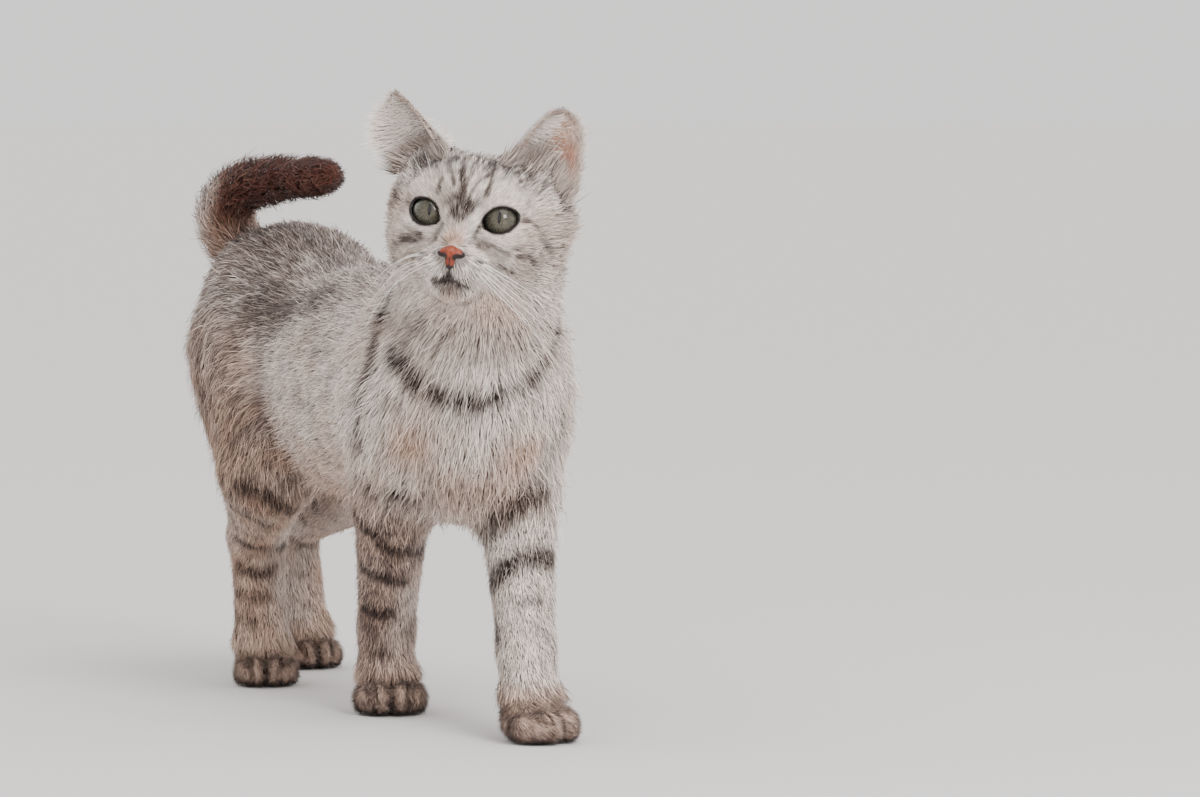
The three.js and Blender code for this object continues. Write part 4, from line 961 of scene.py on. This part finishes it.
def addTufts(name, material, slot, tufts, place, marks=None, hug=True):
    count = len(tufts["root"])
    roots, normals, width, depth = (tufts[k] for k in ("root", "normal", "width", "depth"))
    lie = unit(tufts["lie"] - normals * (tufts["lie"] * normals).sum(axis=1, keepdims=True))
    yaw = tufts["yaw"] * (rng.standard_normal(count) + 1.3 * noise(roots, 9, 61) + noise(roots, 4, 62))
    heading = lie * np.cos(yaw)[:, None] + np.cross(normals, lie) * np.sin(yaw)[:, None]
    across = np.cross(normals, heading)
    length = tufts["length"] * (1 + 0.15 * noise(roots, 9, 64)) * rng.uniform(0.75, 1.2, count)
    high = tufts["tip"] * (1 + 0.1 * noise(roots, 6, 63) + 0.1 * rng.standard_normal(count))
    start = tufts["start"]
    lifted = mix(tuft["rise"], 1, start) * high
    base = roots + normals * (start * depth - tuft["sink"])[:, None]
    knee = roots + heading * (length * tuft["bend"])[:, None] + normals * (lifted * depth)[:, None]
    onward = heading * (length * (1 - tuft["bend"]))[:, None]
    if hug:  # tips keep to the cat's outline
        knee += normals * np.clip((lifted - 1) * depth - catForm(knee), -depth, depth)[:, None]
    tip = knee + onward + normals * ((high - lifted) * depth)[:, None]
    if hug:
        tip += normals * np.clip((high - 1) * depth - catForm(tip), -1.6 * depth, 0.8 * depth)[:, None]
    for ends in (base, knee, tip):
        ends[:, 2] = np.maximum(ends[:, 2], 0.5)
    if marks is None:
        slip = heading * (0.07 * length * rng.standard_normal(count))[:, None]
        kneeMarks = markings(knee + slip + normals * ((1 - lifted) * depth)[:, None])
        tipMarks = markings(tip + slip + normals * ((1 - high) * depth)[:, None])
        ticking = (0.07 + 0.24 * np.clip(kneeMarks["shade"] * 2, 0, 1)) * rng.standard_normal(count)
        fading = 1 + 0.25 * rng.standard_normal(count) * (1 - tufts.get("even", 0))
        for found in (kneeMarks, tipMarks):
            found["shade"] = np.clip(found["shade"] + ticking, 0, 1)
            found["dark"] = np.clip(found["dark"] * fading, 0, 1)
    else:
        kneeMarks = tipMarks = marks
    shut = shutAt(toHead(tip)) > 1.03  # clear of the eyes' openings
    half = across * (width / 2)[:, None]
    ridge = (tuft["thick"] * width)[:, None]
    first, last = unit(knee - base), unit(tip - knee)
    sides = [unit(normals - 0.7 * across), normals, unit(normals + 0.7 * across), unit(normals + 0.4 * last)]
    bent = shut & (depth > tuft["short"])
    over = unit(np.cross(first, across))
    over *= np.sign((over * normals).sum(axis=1, keepdims=True))
    long = np.stack([base, knee - half, knee + over * ridge, knee + half, tip], axis=1)[bent]
    longSheen = np.stack([normals] + sides, axis=1)[bent]
    flat = shut & ~bent
    short = np.stack([base - half, base + normals * ridge, base + half, tip], axis=1)[flat]
    shortSheen = np.stack(sides, axis=1)[flat]
    bentShape = [(0, 1, 2), (0, 2, 3), (0, 3, 1), (4, 2, 1), (4, 3, 2), (4, 1, 3)]
    flatShape = [(0, 1, 2), (0, 3, 1), (2, 1, 3), (0, 2, 3)]
    bends, flats = bent.sum(), flat.sum()
    faces = np.concatenate([(bentShape + 5 * np.arange(bends)[:, None, None]).reshape(-1, 3),
                            (flatShape + 5 * bends + 4 * np.arange(flats)[:, None, None]).reshape(-1, 3)])
    order = np.concatenate([np.repeat(np.flatnonzero(bent), 5), np.repeat(np.flatnonzero(flat), 4)])

    def each(forBent, forFlat):  # one value for each point of each tuft
        shape = [(count,) + (1,) * (np.ndim(forBent) - 1) for count in (bends, flats)]
        return np.concatenate([np.tile(forBent, shape[0]), np.tile(forFlat, shape[1])])

    points = np.concatenate([long.reshape(-1, 3), short.reshape(-1, 3)])
    points[:, 2] = np.maximum(points[:, 2], 0.4)
    locks = np.where(depth < 3, noise(roots, 1.5, 65), noise(roots, 2.6, 66))
    chance = 0.5 + np.where(depth < 2.6, 0.3, 0.18) * rng.standard_normal(count) + 0.36 * locks
    # painted light: some groups of tufts are made lighter
    chance = np.clip(chance + tufts.get("paintedLight", 0), 0, 1)
    atTip = each([0, 0, 0, 0, 1], [0, 0, 0, 1]) > 0
    marks = {mark: np.where(atTip, tipMarks[mark][order], kneeMarks[mark][order]) for mark in kneeMarks}
    # darker towards the root: partly the hair's own banding, partly painted shade deep in the coat
    along = each([0, 0.45, 0.5, 0.45, 1], [0.3, 0.4, 0.3, 1])
    piece = addMesh(name, points, faces, material, slot, along=along, chance=chance[order], **marks)
    spots = each([(0, -1), (-1, 0), (0, 0), (1, 0), (0, 1)], [(-1, -1), (0, 0), (1, -1), (0, 1)])
    places = place[order] + tuft["patch"] * spots  # each tuft's own patch in the unwrap
    bake = piece.data.uv_layers.new(name="OFBake")
    bake.data.foreach_set("uv", places[faces.ravel()].astype(np.float32).ravel())
    sheen = np.concatenate([longSheen.reshape(-1, 3), shortSheen.reshape(-1, 3)])
    piece.data.normals_split_custom_set_from_vertices(sheen)
    tally.append(len(faces))
    print(name, bends + flats, "tufts,", len(faces), "triangles")

def spread(points, quads, normals, density):  # places over the net, evenly by weight
    corner = points[quads]
    a, b, c, d = (corner[:, n] for n in range(4))
    area = np.linalg.norm(np.cross(c - a, d - b), axis=1) / 2
    total = np.cumsum(area * density)
    count = int(total[-1])
    picks = np.searchsorted(total, (np.arange(count) + rng.random(count)) * total[-1] / count)
    picks = np.minimum(picks, len(quads) - 1)
    s, t = scattered(count)
    weight = np.stack([(1 - s) * (1 - t), s * (1 - t), s * t, (1 - s) * t], axis=1)
    spot, facing = (np.einsum("nc,nck->nk", weight, values[quads[picks]]) for values in (points, normals))
    return spot, unit(facing)

coatSizes = {  # by the coat's depth
    "depth": (1.9, 4.2, 6.5, 8.5, 11.5),
    "density": (2.75, 1.28, 1.0, 0.83, 0.9),  # tufts on each square millimetre
    "width": (0.4, 0.5, 0.6, 0.68, 0.72),
    "length": (4.2, 7, 12, 16, 19),
    "yaw": (0.14, 0.15, 0.16, 0.16, 0.15),
    "upper": 0.62,  # the share that is rooted part way up
}

def isBare(points):  # eyes, nose and soles
    local = toHead(points)
    return (shutAt(local) < 1.08) | (noseForm(local) < 0.6) | (points[:, 2] < 2)

def addCoat():
    middle = skinPoints[skinQuads].mean(axis=1)
    depth = coatDepth(middle)
    density = np.interp(depth, coatSizes["depth"], coatSizes["density"])
    density = np.where(isBare(middle), 0, density)
    points, normals = spread(skinPoints, skinQuads, skinNormals, density)
    keep = ~isBare(points)
    points, normals = points[keep], normals[keep]
    depth = coatDepth(points)
    shares = nearness(points)
    lie = lieOf(points, shares)
    lie = unit(lie - normals * (lie * normals).sum(axis=1, keepdims=True))
    width, length, yaw = (np.interp(depth, coatSizes["depth"], coatSizes[name])
                          for name in ("width", "length", "yaw"))
    count = len(points)
    upper = (depth > 5) & (rng.random(count) < coatSizes["upper"])  # a finer layer, rooted part way up
    x, y, z = points.T
    onLeg, onTail = shares[:, 2:6].sum(axis=1) > 0.5, shares[:, 6]
    ruff = patch(toHead(points), (44, 31, 4), (10, 12, 12))
    cuff = onLeg * np.exp(-((z - 30) / 8) ** 2)
    stray = rng.random(count) < 0.05 + 0.2 * onTail
    onFoot = onLeg * (1 - rise(z, 28, 40))
    length = length * np.where(upper, 0.58, 1) * np.where(stray, 1.25, 1)
    tufts = {"root": points, "normal": normals, "lie": lie, "depth": depth, "start": np.where(upper, 0.5, 0),
             "width": width * np.where(upper, 0.75, 1) * (1 + 0.35 * onFoot),
             "length": length * (1 + 0.5 * onTail + ruff + 0.8 * cuff + 0.35 * onFoot),
             "yaw": yaw * np.where(stray, 1.6, 1) * (1 + 0.6 * onTail),
             "tip": np.where(stray, 1.3, 0.98) + 0.25 * onTail + 0.6 * ruff + 0.5 * cuff
             + onFoot * rng.uniform(0, 1.1, count),
             "even": 0.7 * onTail}
    part = shares.argmax(axis=1)
    neck = (part == 1) & (y < -55) & (z > 218)
    chest = (part == 1) & (y < -55) & ~neck
    rump = (part == 1) & (y > 112)
    flank = (part == 1) & ~neck & ~chest & ~rump
    spine, top = [(0, -120, 190), (0, 245, 200)], 34  # the paws' own fur ends at this height
    groups = [
        ("coatHead", part == 0, None),
        ("coatNeck", neck, [(0, -70, 190), (-10, -108, 280)]),
        ("coatChest", chest, [(0, -60, 120), (0, -92, 225)]),
        ("coatFlankRight", flank & (x < 0), spine),
        ("coatFlankLeft", flank & (x >= 0), spine),
        ("coatRump", rump, spine),
        ("coatTail", part == 6, tailLine),
    ]
    for n, (name, leg) in enumerate(zip(("ForeRight", "ForeLeft", "HindRight", "HindLeft"), legs)):
        groups += [("coat" + name, (part == 2 + n) & (z >= top), legPath(leg)),
                   ("paw" + name, (part == 2 + n) & (z < top), legPath(leg))]
    for name, chosen, path in groups:
        material, slot = coatMaterial, "coat"
        if name.startswith("paw"):
            material, slot = pawMaterial, "paw_coat"
        elif name == "coatTail":
            material, slot = tailMaterial, "tail_coat"
        place = overHead(points[chosen]) if path is None else aroundPath(points[chosen], path)
        addTufts(name, material, slot, pick(tufts, chosen), place)

# The ears' own coat: tufts on the back and inside, long hairs that sweep across, a fringe, and a foot.
earFur = {"back": 4200, "inside": 3400, "sweep": 1300, "fringe": 900, "foot": 1500}

def addEarCoat():
    parts, feel = [], 0.01
    for column, (name, ear) in enumerate(ears.items()):
        away = fromHead((0, 1, 0)) - fromHead((0, 0, 0))
        pale = 1.0 if name == "Right" else 0.0
        for kind, count in earFur.items():
            chance = rng.random(count)
            u, t = scattered(count)
            if kind in ("back", "inside"):
                keep = chance < 1.05 - t * 0.7
                u, t = u[keep], t[keep] * 0.98
            elif kind == "sweep":  # long hairs from the inner edge across the opening
                u, t = 0.03 + mix(0.45, 0.9, pale) * u**mix(1.3, 1, pale), 0.02 + 0.74 * t
            elif kind == "fringe":
                u, t = np.where(u < 0.5, 0.1 * chance**2, 1 - 0.06 * chance), 0.04 + 0.94 * t
            else:  # head fur that rises in front of the ear's foot
                u, t = mix(-0.08, 1.05, u), 0.16 * t
            chance = rng.random(len(u))
            wall = earShell["back"] if kind == "back" else earShell["front"]
            at = earSheet(ear, u, t, wall)
            alongU = unit(earSheet(ear, u + feel, t, wall) - earSheet(ear, u - feel, t, wall))
            alongT = unit(earSheet(ear, u, np.minimum(t + feel, 1), wall) - earSheet(ear, u, t - feel, wall))
            normal = unit(np.cross(alongU, alongT))
            normal *= (np.sign(normal @ away) * (1 if kind == "back" else -1))[:, None]
            outward = np.sign(u - 0.5)
            edge = rise(np.abs(2 * u - 1), 0.62, 0.95)
            inner = 1 - rise(u, 0.05, 0.6)
            streak = rise(noise(at, 2.2, 91) + 0.4 * (chance - 0.5), 0.1, 0.5)
            if kind == "back":
                lie = alongT + 0.5 * alongU * (outward * edge)[:, None]
                length, width, depth = 4.6 - 1.2 * t, 0.4 + 0 * u, 1.7 + 0 * u
                marks = {"dark": 0 * u, "warm": 0.3 + 0 * u,
                         "shade": np.clip(0.42 + 0.3 * noise(at, 3, 71) - 0.35 * edge, 0, 1)}
            elif kind == "inside":
                lie = alongT + alongU * (0.3 + 0.9 * inner)[:, None]
                length, width, depth = 4 + 6 * (1 - t) * chance, 0.34 + 0 * u, 1.2 + 1.5 * chance * (1 - t)
                deep = (1 - inner) * (1 - edge) * (1 - rise(t, 0.3, 0.65)) * (1 - pale)
                near = pale * (1 - rise(u, 0.2, 0.35))
                footward = pale * (1 - rise(t, 0.12, 0.32))
                marks = {"dark": mix(0.5, 0, pale) * streak + 0.3 * near * streak + 0.5 * footward * streak,
                         "shade": 0.25 * chance * (1 - pale) + 0.2 * near + 0.2 * footward,
                         "warm": np.maximum(mix(0.4, 0, pale) + 0.5 * deep + 0.35 * near, 0.35 * footward)}
            elif kind == "sweep":
                lie = alongU + alongT * (mix(-0.3, 0.75, t) + 0.3 * rng.random(len(u)))[:, None]
                length = (8 + 15 * (1 - 0.55 * t) * (0.5 + 0.5 * chance)) * mix(1, 0.72, pale * u)
                width = 0.38 + 0 * u
                depth = 1.5 + 3.5 * chance
                red = (chance > 0.72) * (1 - pale) * rise(u, 0.1, 0.3)
                marks = {"dark": 0.3 * red + 0.2 * streak * (chance > 0.8), "shade": 0.02 + 0 * u,
                         "warm": 0.08 + 0.8 * red}
            elif kind == "fringe":
                splay = 0.8 * outward * (1 + rng.standard_normal(len(u)) * 0.4)
                lie = alongT * 0.8 + alongU * splay[:, None]
                length = 4.2 + 3.4 * chance * (1 + 1.3 * pale * (u > 0.5) * rise(t, 0.1, 0.4))
                width, depth = 0.34 + 0 * u, 0.3 + 1.4 * chance
                marks = {"dark": 0.25 * streak * (u < 0.5), "shade": 0.06 + 0.25 * chance * (u < 0.5),
                         "warm": 0.06 + 0.3 * pale * (u < 0.5)}
            else:
                at = settle(catForm, at - away * (2 + 5 * rng.random(len(u)))[:, None] - alongT * 3, 3)
                at = at - slopeOf(catForm, at) * 2.5
                lie = alongT + alongU * (0.5 * (u - 0.3))[:, None]
                length, width, depth = 9 + 9 * chance, 0.42 + 0 * u, 2.5 + 2 * chance
                marks = {"dark": 0.75 * streak, "shade": 0.25 + 0.4 * chance, "warm": 0.22 + 0 * u}
            place = tile(np.stack([u, 0.1 + 0.85 * t], axis=1), list(earFur).index(kind), len(earFur))
            place = tile(place, column, len(ears))
            # painted light: the ears' hairs made lighter where the cups are in shade, most inside the right
            # ear
            paintedLight = 0.18 + 0.5 * pale * (u > 0.25) * (t > 0.2) * (kind != "back") + 0.25 * (kind == "sweep")
            tufts = {"root": at, "normal": normal, "lie": lie, "depth": depth, "width": width,
                     "length": length, "tip": 1 + 0 * u, "start": 0 * u, "yaw": 0.16 + 0 * u,
                     "paintedLight": paintedLight + 0 * u}
            parts.append((tufts, {mark: marks[mark] + 0 * u for mark in ("dark", "shade", "warm")}, place))
    tufts, marks = ({name: np.concatenate([part[n][name] for part in parts]) for name in parts[0][n]}
                    for n in (0, 1))
    places = np.concatenate([part[2] for part in parts])
    addTufts("coatEars", coatMaterial, "coat", tufts, places, marks, hug=False)

# Nose and lips, in the head's frame.
nose = {"low": paint(112, 42, 24), "high": paint(148, 66, 42), "rim": paint(30, 18, 16), "step": 0.42}
noseShapes = [
    limb((-3.4, -31, -20.4), (3.4, -31, -20.4), 2.1, 2.1, 2),
    limb((0, -32.3, -20.6), (0, -31.2, -27.8), 3.6, 2.1, 2),
    ball((4.6, -30.6, -21.6), (3.0, 3.0, 2.0), 1.5),
    ball((-4.6, -30.6, -21.6), (3.0, 3.0, 2.0), 1.5),
]
nostrils = [limb((s * 3.2, -34.6, -23.4), (s * 7.6, -30.6, -22.3), 1.0, 0.75, 1) for s in (1, -1)]
groove = limb((0, -36.2, -21.5), (0, -34, -29), 0.9, 0.9, 1)

def noseForm(local):
    d = blend(noseShapes, local)
    for hollow in (*nostrils, groove):
        d = np.maximum(d, -hollow["distance"](local))
    return d

def facingOut(points, faces):  # triangles of a closed shape, turned to face outwards
    a, b, c = (points[faces[:, n]] for n in range(3))
    return faces if (a * np.cross(b, c)).sum() > 0 else faces[:, ::-1]

def loops(centres, first, second, radii, sides):  # circles about centres, in the plane of two directions
    angles = 2 * np.pi * np.arange(sides) / sides
    return centres[:, None] + radii * (np.cos(angles)[None, :, None] * first[:, None]
                                       + np.sin(angles)[None, :, None] * second[:, None])

def tube(path, radii, sides=10, steps=4):  # a closed tapered tube through points
    path, radii = np.array(path, float), np.array(radii, float)
    shares = np.linspace(0, 1, steps * (len(path) - 1) + 1)
    centres = np.array([centripetal(path, s) for s in shares])
    widths = np.interp(shares, np.linspace(0, 1, len(radii)), radii)
    tangents = unit(np.gradient(centres, axis=0))
    across = unit(np.cross(tangents, (0.3, 0.1, 0.95)))
    over = np.cross(tangents, across)
    rings = loops(centres, across, over, widths[:, None, None], sides)
    points = np.concatenate([rings.reshape(-1, 3), centres[:1], centres[-1:]])
    faces, last = [], len(centres) - 1
    for i in range(last):
        for j in range(sides):
            a, b = i * sides + j, i * sides + (j + 1) % sides
            faces += [(a, b, b + sides), (a, b + sides, a + sides)]
    end = last * sides
    for j in range(sides):
        after = (j + 1) % sides
        faces += [(after, j, len(points) - 2), (end + j, end + after, len(points) - 1)]
    return points, facingOut(points, np.array(faces))

def merged(parts):
    points, faces, count = [], [], 0
    for part, corners in parts:
        points.append(part)
        faces.append(corners + count)
        count += len(part)
    return np.concatenate(points), np.concatenate(faces)

def addNose():
    finish = Finish("noseLeather", Roughness=0.5, Specular_IOR_Level=0.4)
    mottled = finish.ramp(finish.grain(420, 3), (0.35, nose["low"]), (0.7, nose["high"]))
    colour = finish.mixed(finish.mark("rim").outputs["Fac"], mottled, nose["rim"])
    finish.link(colour, finish.shader.inputs["Base Color"])
    finish.bump(finish.grain(1500, 2), 0.25, 0.0003)
    grid = [np.arange(low, high, nose["step"]) for low, high in ((-10, 10.01), (-38, -24), (-31, -12))]
    points, quads = netOf(noseForm, grid)
    points = settle(noseForm, points)
    x, y, z = points.T
    side = np.abs(x)
    hole = np.minimum(*[nostril["distance"](points) for nostril in nostrils])
    # dark rim: the leather's own dark outline, with painted shade in the nostrils and down the middle groove
    rim = rise(side - 0.35 * (z + 21), 5.6, 6.4) + rise(-z, 27.2, 28.4) + rise(1.5 - np.abs(hole), 0, 1.1)
    rim = rim + 0.8 * (1 - rise(side, 0.25, 0.6)) * rise(-z, 22.5, 24)
    rim = rim + rise(side, 2.0, 2.9) * rise(-z, 23, 24.5)
    rim = np.clip(rim, 0, 1)
    pad = addMesh("nosePad", fromHead(points), quads, finish.material, "nose_leather", rim=rim)
    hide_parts("nose")
    print("nose", len(points), "points")

lips = {"colour": paint(38, 26, 24), "seam": [(0, -31.2, -28), (0, -29.4, -31.5), (0, -28, -34.6)],
        "seamRadii": (0.35, 0.5, 0.6),
        "line": [(0, -28.2, -34.4), (3.6, -26.8, -36.2), (7.2, -24.2, -37.6), (10.4, -20.5, -38.6)],
        "lineRadii": (0.75, 0.6, 0.35, 0.12)}

def addLips():
    finish = Finish("lipLeather", Roughness=0.45, Specular_IOR_Level=0.4)
    finish.shader.inputs["Base Color"].default_value = lips["colour"]
    parts = [tube(lips["seam"], lips["seamRadii"])]
    for s in (1, -1):
        parts.append(tube(np.array(lips["line"]) * (s, 1, 1), lips["lineRadii"], steps=6))
    points, faces = merged(parts)
    addMesh("lips", fromHead(points), faces, finish.material, "nose_leather")

# Eyes.
iris = {"reach": 10.6, "pupil": (1.05, 3.6), "gaze": (0.12, -1, 0.12), "black": paint(4, 4, 5),
        "white": paint(44, 32, 28), "rays": (paint(70, 69, 66), paint(92, 89, 84), paint(120, 115, 108)),
        "rings": ((0.0, paint(140, 124, 98)), (0.25, paint(226, 220, 200)), (0.7, paint(226, 228, 214)),
                  (0.9, paint(128, 122, 110)), (0.99, paint(34, 28, 25))),
        # the last ramp is painted shadow of the upper lid, darkening the iris towards its top
        "paintedLidShadow": ((0.15, (1, 1, 1)), (0.6, (0.72, 0.72, 0.72)), (0.95, (0.2, 0.2, 0.2)))}
lidRim = {"colour": paint(20, 15, 14), "reach": 11.0, "thick": 0.62, "steps": 72, "sides": 10}

def globe(rings=36, sides=56):  # a ball with a raised front, about its own y axis, front at -y
    angle = np.linspace(0, np.pi, rings + 1)[1:-1]
    radius = eye["radius"] - 1.1 + 1.1 * (1 - rise(angle, 0.35, 1.15)) + 0.5
    turn = 2 * np.pi * np.arange(sides) / sides
    wide, ahead = radius * np.sin(angle), -radius * np.cos(angle)
    ring = np.stack([np.outer(wide, np.cos(turn)), np.outer(ahead, np.ones(sides)),
                     np.outer(wide, np.sin(turn))], axis=-1).reshape(-1, 3)
    points = np.concatenate([ring, [(0, -eye["radius"] - 0.5, 0), (0, eye["radius"] - 0.6, 0)]])
    faces = []
    for i in range(rings - 2):
        for j in range(sides):
            a, b = i * sides + j, i * sides + (j + 1) % sides
            faces += [(a, a + sides, b + sides), (a, b + sides, b)]
    last = (rings - 2) * sides
    for j in range(sides):
        after = (j + 1) % sides
        faces += [(j, after, len(ring)), (last + after, last + j, len(ring) + 1)]
    return points, facingOut(points, np.array(faces))

def eyeFinish():
    finish = Finish("eyeGlass", Roughness=0.4, Specular_IOR_Level=0.0, Coat_Weight=1.0, Coat_Roughness=0.03,
                    Coat_IOR=1.42)
    place = finish.node("ShaderNodeSeparateXYZ")
    finish.link(finish.mark("lens").outputs["Vector"], place.inputs[0])
    x, _, z = place.outputs
    squares = [finish.math("MULTIPLY", side, side) for side in (x, z)]
    away = finish.math("SQRT", finish.math("ADD", *squares))
    stretched = finish.node("ShaderNodeCombineXYZ")  # the same all the way out, so the noise makes rays
    for socket, value in enumerate((finish.math("DIVIDE", x, away), finish.math("DIVIDE", z, away),
                                    finish.math("MULTIPLY", away, 0.06))):
        finish.link(value, stretched.inputs[socket])
    rays = finish.grain(7, 4, 0.5, stretched.outputs[0])
    green = finish.ramp(rays, *zip((0.3, 0.5, 0.7), iris["rays"]))
    centre = finish.math("DIVIDE", away, iris["reach"])
    colour = finish.mixed(1.0, green, finish.ramp(centre, *iris["rings"]), "MULTIPLY")
    # painted shadow of the upper lid: the iris darker towards its top
    height = finish.math("MULTIPLY_ADD", z, 0.07, 0.5)
    colour = finish.mixed(1.0, colour, finish.ramp(height, *iris["paintedLidShadow"]), "MULTIPLY")
    shares = [finish.math("ABSOLUTE", finish.math("DIVIDE", side, half))
              for side, half in zip((x, z), iris["pupil"])]
    slit = finish.math("ADD", *[finish.math("POWER", share, 1.7) for share in shares])
    pupil = finish.ramp(slit, (0.75, (1, 1, 1)), (1.0, (0, 0, 0)))
    colour = finish.mixed(pupil, colour, iris["black"])
    white = finish.ramp(centre, (0.97, (0, 0, 0)), (1.0, (1, 1, 1)))
    colour = finish.mixed(white, colour, iris["white"])
    finish.link(colour, finish.shader.inputs["Base Color"])
    return finish.material

def addEyes():
    material = eyeFinish()
    rimFinish = Finish("lidRim", Roughness=0.4, Specular_IOR_Level=0.4)
    rimFinish.shader.inputs["Base Color"].default_value = lidRim["colour"]
    lens, faces = globe()
    look = -unit(np.array(iris["gaze"]))
    sideways = unit(np.cross((0, 0, 1), look) * -1)
    upward = np.cross(sideways, look) * -1
    upward, sideways = upward * np.sign(upward[2]), sideways * np.sign(sideways[0])
    basis = np.stack([sideways, look, upward], axis=1)

    # The rim follows the eye's opening, on a ball just outside the globe.
    steps, sides = lidRim["steps"], lidRim["sides"]
    angle = np.linspace(0, 2 * np.pi, steps + 1)[:-1]
    (a, h), power = eye["half"], eye["power"]
    reach = (np.abs(np.cos(angle) / a) ** power + np.abs(np.sin(angle) / h) ** power) ** (-1 / power)
    ringX, ringZ = reach * np.cos(angle), reach * np.sin(angle)
    ringY = -np.sqrt(np.maximum(lidRim["reach"]**2 - ringX**2 - ringZ**2, 4))
    centres = np.stack([ringX, ringY, ringZ], axis=1)
    points = loops(centres, unit(centres * (1, 0, 1)), unit(centres), lidRim["thick"], sides).reshape(-1, 3)
    number = np.arange(steps * sides).reshape(steps, sides)
    nextRing, nextSide = np.roll(number, -1, axis=0), np.roll(number, -1, axis=1)
    corners = np.stack([number, nextRing, np.roll(nextRing, -1, axis=1), nextSide], axis=-1).reshape(-1, 4)
    corner = points[corners]
    facing = np.cross(corner[:, 2] - corner[:, 0], corner[:, 3] - corner[:, 1])
    outward = (facing * (corner.mean(axis=1) - np.repeat(centres, sides, axis=0))).sum() > 0
    for side, name in ((1, "Left"), (-1, "Right")):
        points3 = fromHead(lens @ basis.T + eyeCentre * (side, 1, 1))
        piece = addMesh("eye" + name, points3, faces, material, "eyes", lens=lens)
        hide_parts("eye_" + name.lower())
        rim = corners if outward == (side > 0) else corners[:, ::-1]
        addMesh("lidRim" + name, fromEye(points, side), rim, rimFinish.material, "eyes")
    print("eyes")

# Whiskers and brow hairs.
whiskers = {"colour": paint(246, 242, 236), "radii": (0.18, 0.155, 0.115, 0.04), "length": 58, "left": 6,
            "right": 7, "brow": 2, "browRadii": (0.1, 0.08, 0.03), "browLength": 24}

def addWhiskers():
    finish = Finish("whiskerHair", Roughness=0.4, Specular_IOR_Level=0.4)
    finish.shader.inputs["Base Color"].default_value = whiskers["colour"]
    parts = []
    for s, count in ((1, whiskers["left"]), (-1, whiskers["right"])):
        for n in range(count):
            column, row = divmod(n, 3)
            root = np.array([s * (11 + 3 * column + 0.8 * row), -28.5 + 2.4 * column, -23 - 2.8 * row])
            length = whiskers["length"] - 5 * abs(row - 1) - 6 * column + rng.uniform(-6, 6)
            stray = rng.uniform(-0.06, 0.06)
            if s > 0:
                aim = unit(np.array([1.0, 0.15 + 0.25 * column, -0.42 - 0.2 * row + stray]))
                fall = np.array([0.1, 0.25, -0.12])
            else:
                aim = unit(np.array([-1.0, 0.45 + 0.25 * column, 0.0 - 0.2 * row + stray]))
                fall = np.array([0.1, 0.55, -0.42])
            path = [root + aim * length * q + fall * length * q * q for q in (0, 0.33, 0.66, 1)]
            parts.append(tube(path, whiskers["radii"], sides=6, steps=4))
        for n in range(whiskers["brow"]):
            root = np.array([s * (18 + 3.5 * n), -9 + 1.5 * n, 12.5 - n])
            aim = unit(np.array([s * (0.15 + 0.2 * n), -0.15, 1.0])) * whiskers["browLength"]
            fall = np.array([s * 0.5, 0.6, -0.2]) * 10
            path = [root + aim * q + fall * q * q for q in (0, 0.5, 1)]
            parts.append(tube(path, whiskers["browRadii"], sides=6, steps=4))
    points, faces = merged(parts)
    addMesh("whiskers", fromHead(points), faces, finish.material, "coat")
    print("whiskers", len(parts))

addCoat()
addEarCoat()
print("coat", sum(tally), "triangles")
addNose()
addLips()
addEyes()
addWhiskers()

# Floor, light and camera.
room = {"floor": paint(212, 210, 209), "radius": 40, "sky": (1, 0.985, 0.975, 1), "light": 1.15}
lamps = {
    "softKey": {"kind": "SUN", "aim": (-0.25, 0.75, -1), "energy": 1.45, "angle": math.radians(50),
                "color": (1, 0.97, 0.93)},
    "frontFill": {"kind": "SUN", "aim": (0.5, 1, -0.2), "energy": 0.9, "angle": math.radians(60),
                  "color": (1, 0.96, 0.92)},
    "rimLight": {"kind": "SUN", "aim": (0.35, -1, -0.9), "energy": 0.8, "angle": math.radians(70),
                 "color": (1, 0.99, 0.97)},
    "panel": {"kind": "AREA", "place": (0.25, -1.9, 1.1), "aim": (0, -0.1, 0.25), "energy": 26, "size": 0.62,
              "color": (0.98, 0.99, 1)},
}
view = {"place": (-1148, -2713, 360), "down": 3.51, "turn": -25, "lens": 155.4, "sensor": 36, "far": 100}

def addStage():
    finish = Finish("paleFloor", Roughness=0.9, Specular_IOR_Level=0.2)
    finish.shader.inputs["Base Color"].default_value = room["floor"]
    bpy.ops.mesh.primitive_circle_add(vertices=96, radius=room["radius"], fill_type="NGON")
    floor = bpy.context.object
    floor.name = "floor"
    floor.data.materials.append(finish.material)
    world = bpy.data.worlds.new("paleSky")
    world.use_nodes = True
    sky = world.node_tree.nodes["Background"]
    sky.inputs[0].default_value, sky.inputs[1].default_value = room["sky"], room["light"]
    bpy.context.scene.world = world

def addLamp(name, kind, aim, place=(0, 0, 0), **values):  # a sun has no place, only an aim
    light = bpy.data.lights.new(name, kind)
    for key, value in values.items():
        setattr(light, key, value)
    lamp = bpy.data.objects.new(name, light)
    lamp.location = place
    lamp.rotation_euler = (Vector(aim) - Vector(place)).to_track_quat("-Z", "Y").to_euler()
    bpy.context.scene.collection.objects.link(lamp)

def addCamera():
    camera = bpy.data.objects.new("camera", bpy.data.cameras.new("camera"))
    camera.location = toFrame(view["place"])
    camera.rotation_euler = (math.radians(90 - view["down"]), 0, math.radians(view["turn"]))
    for setting, value in (("lens", "lens"), ("sensor_width", "sensor"), ("clip_end", "far")):
        setattr(camera.data, setting, view[value])
    bpy.context.scene.collection.objects.link(camera)
    bpy.context.scene.camera = camera

addStage()
for name, lamp in lamps.items():
    addLamp(name, **lamp)
addCamera()
print("stage")
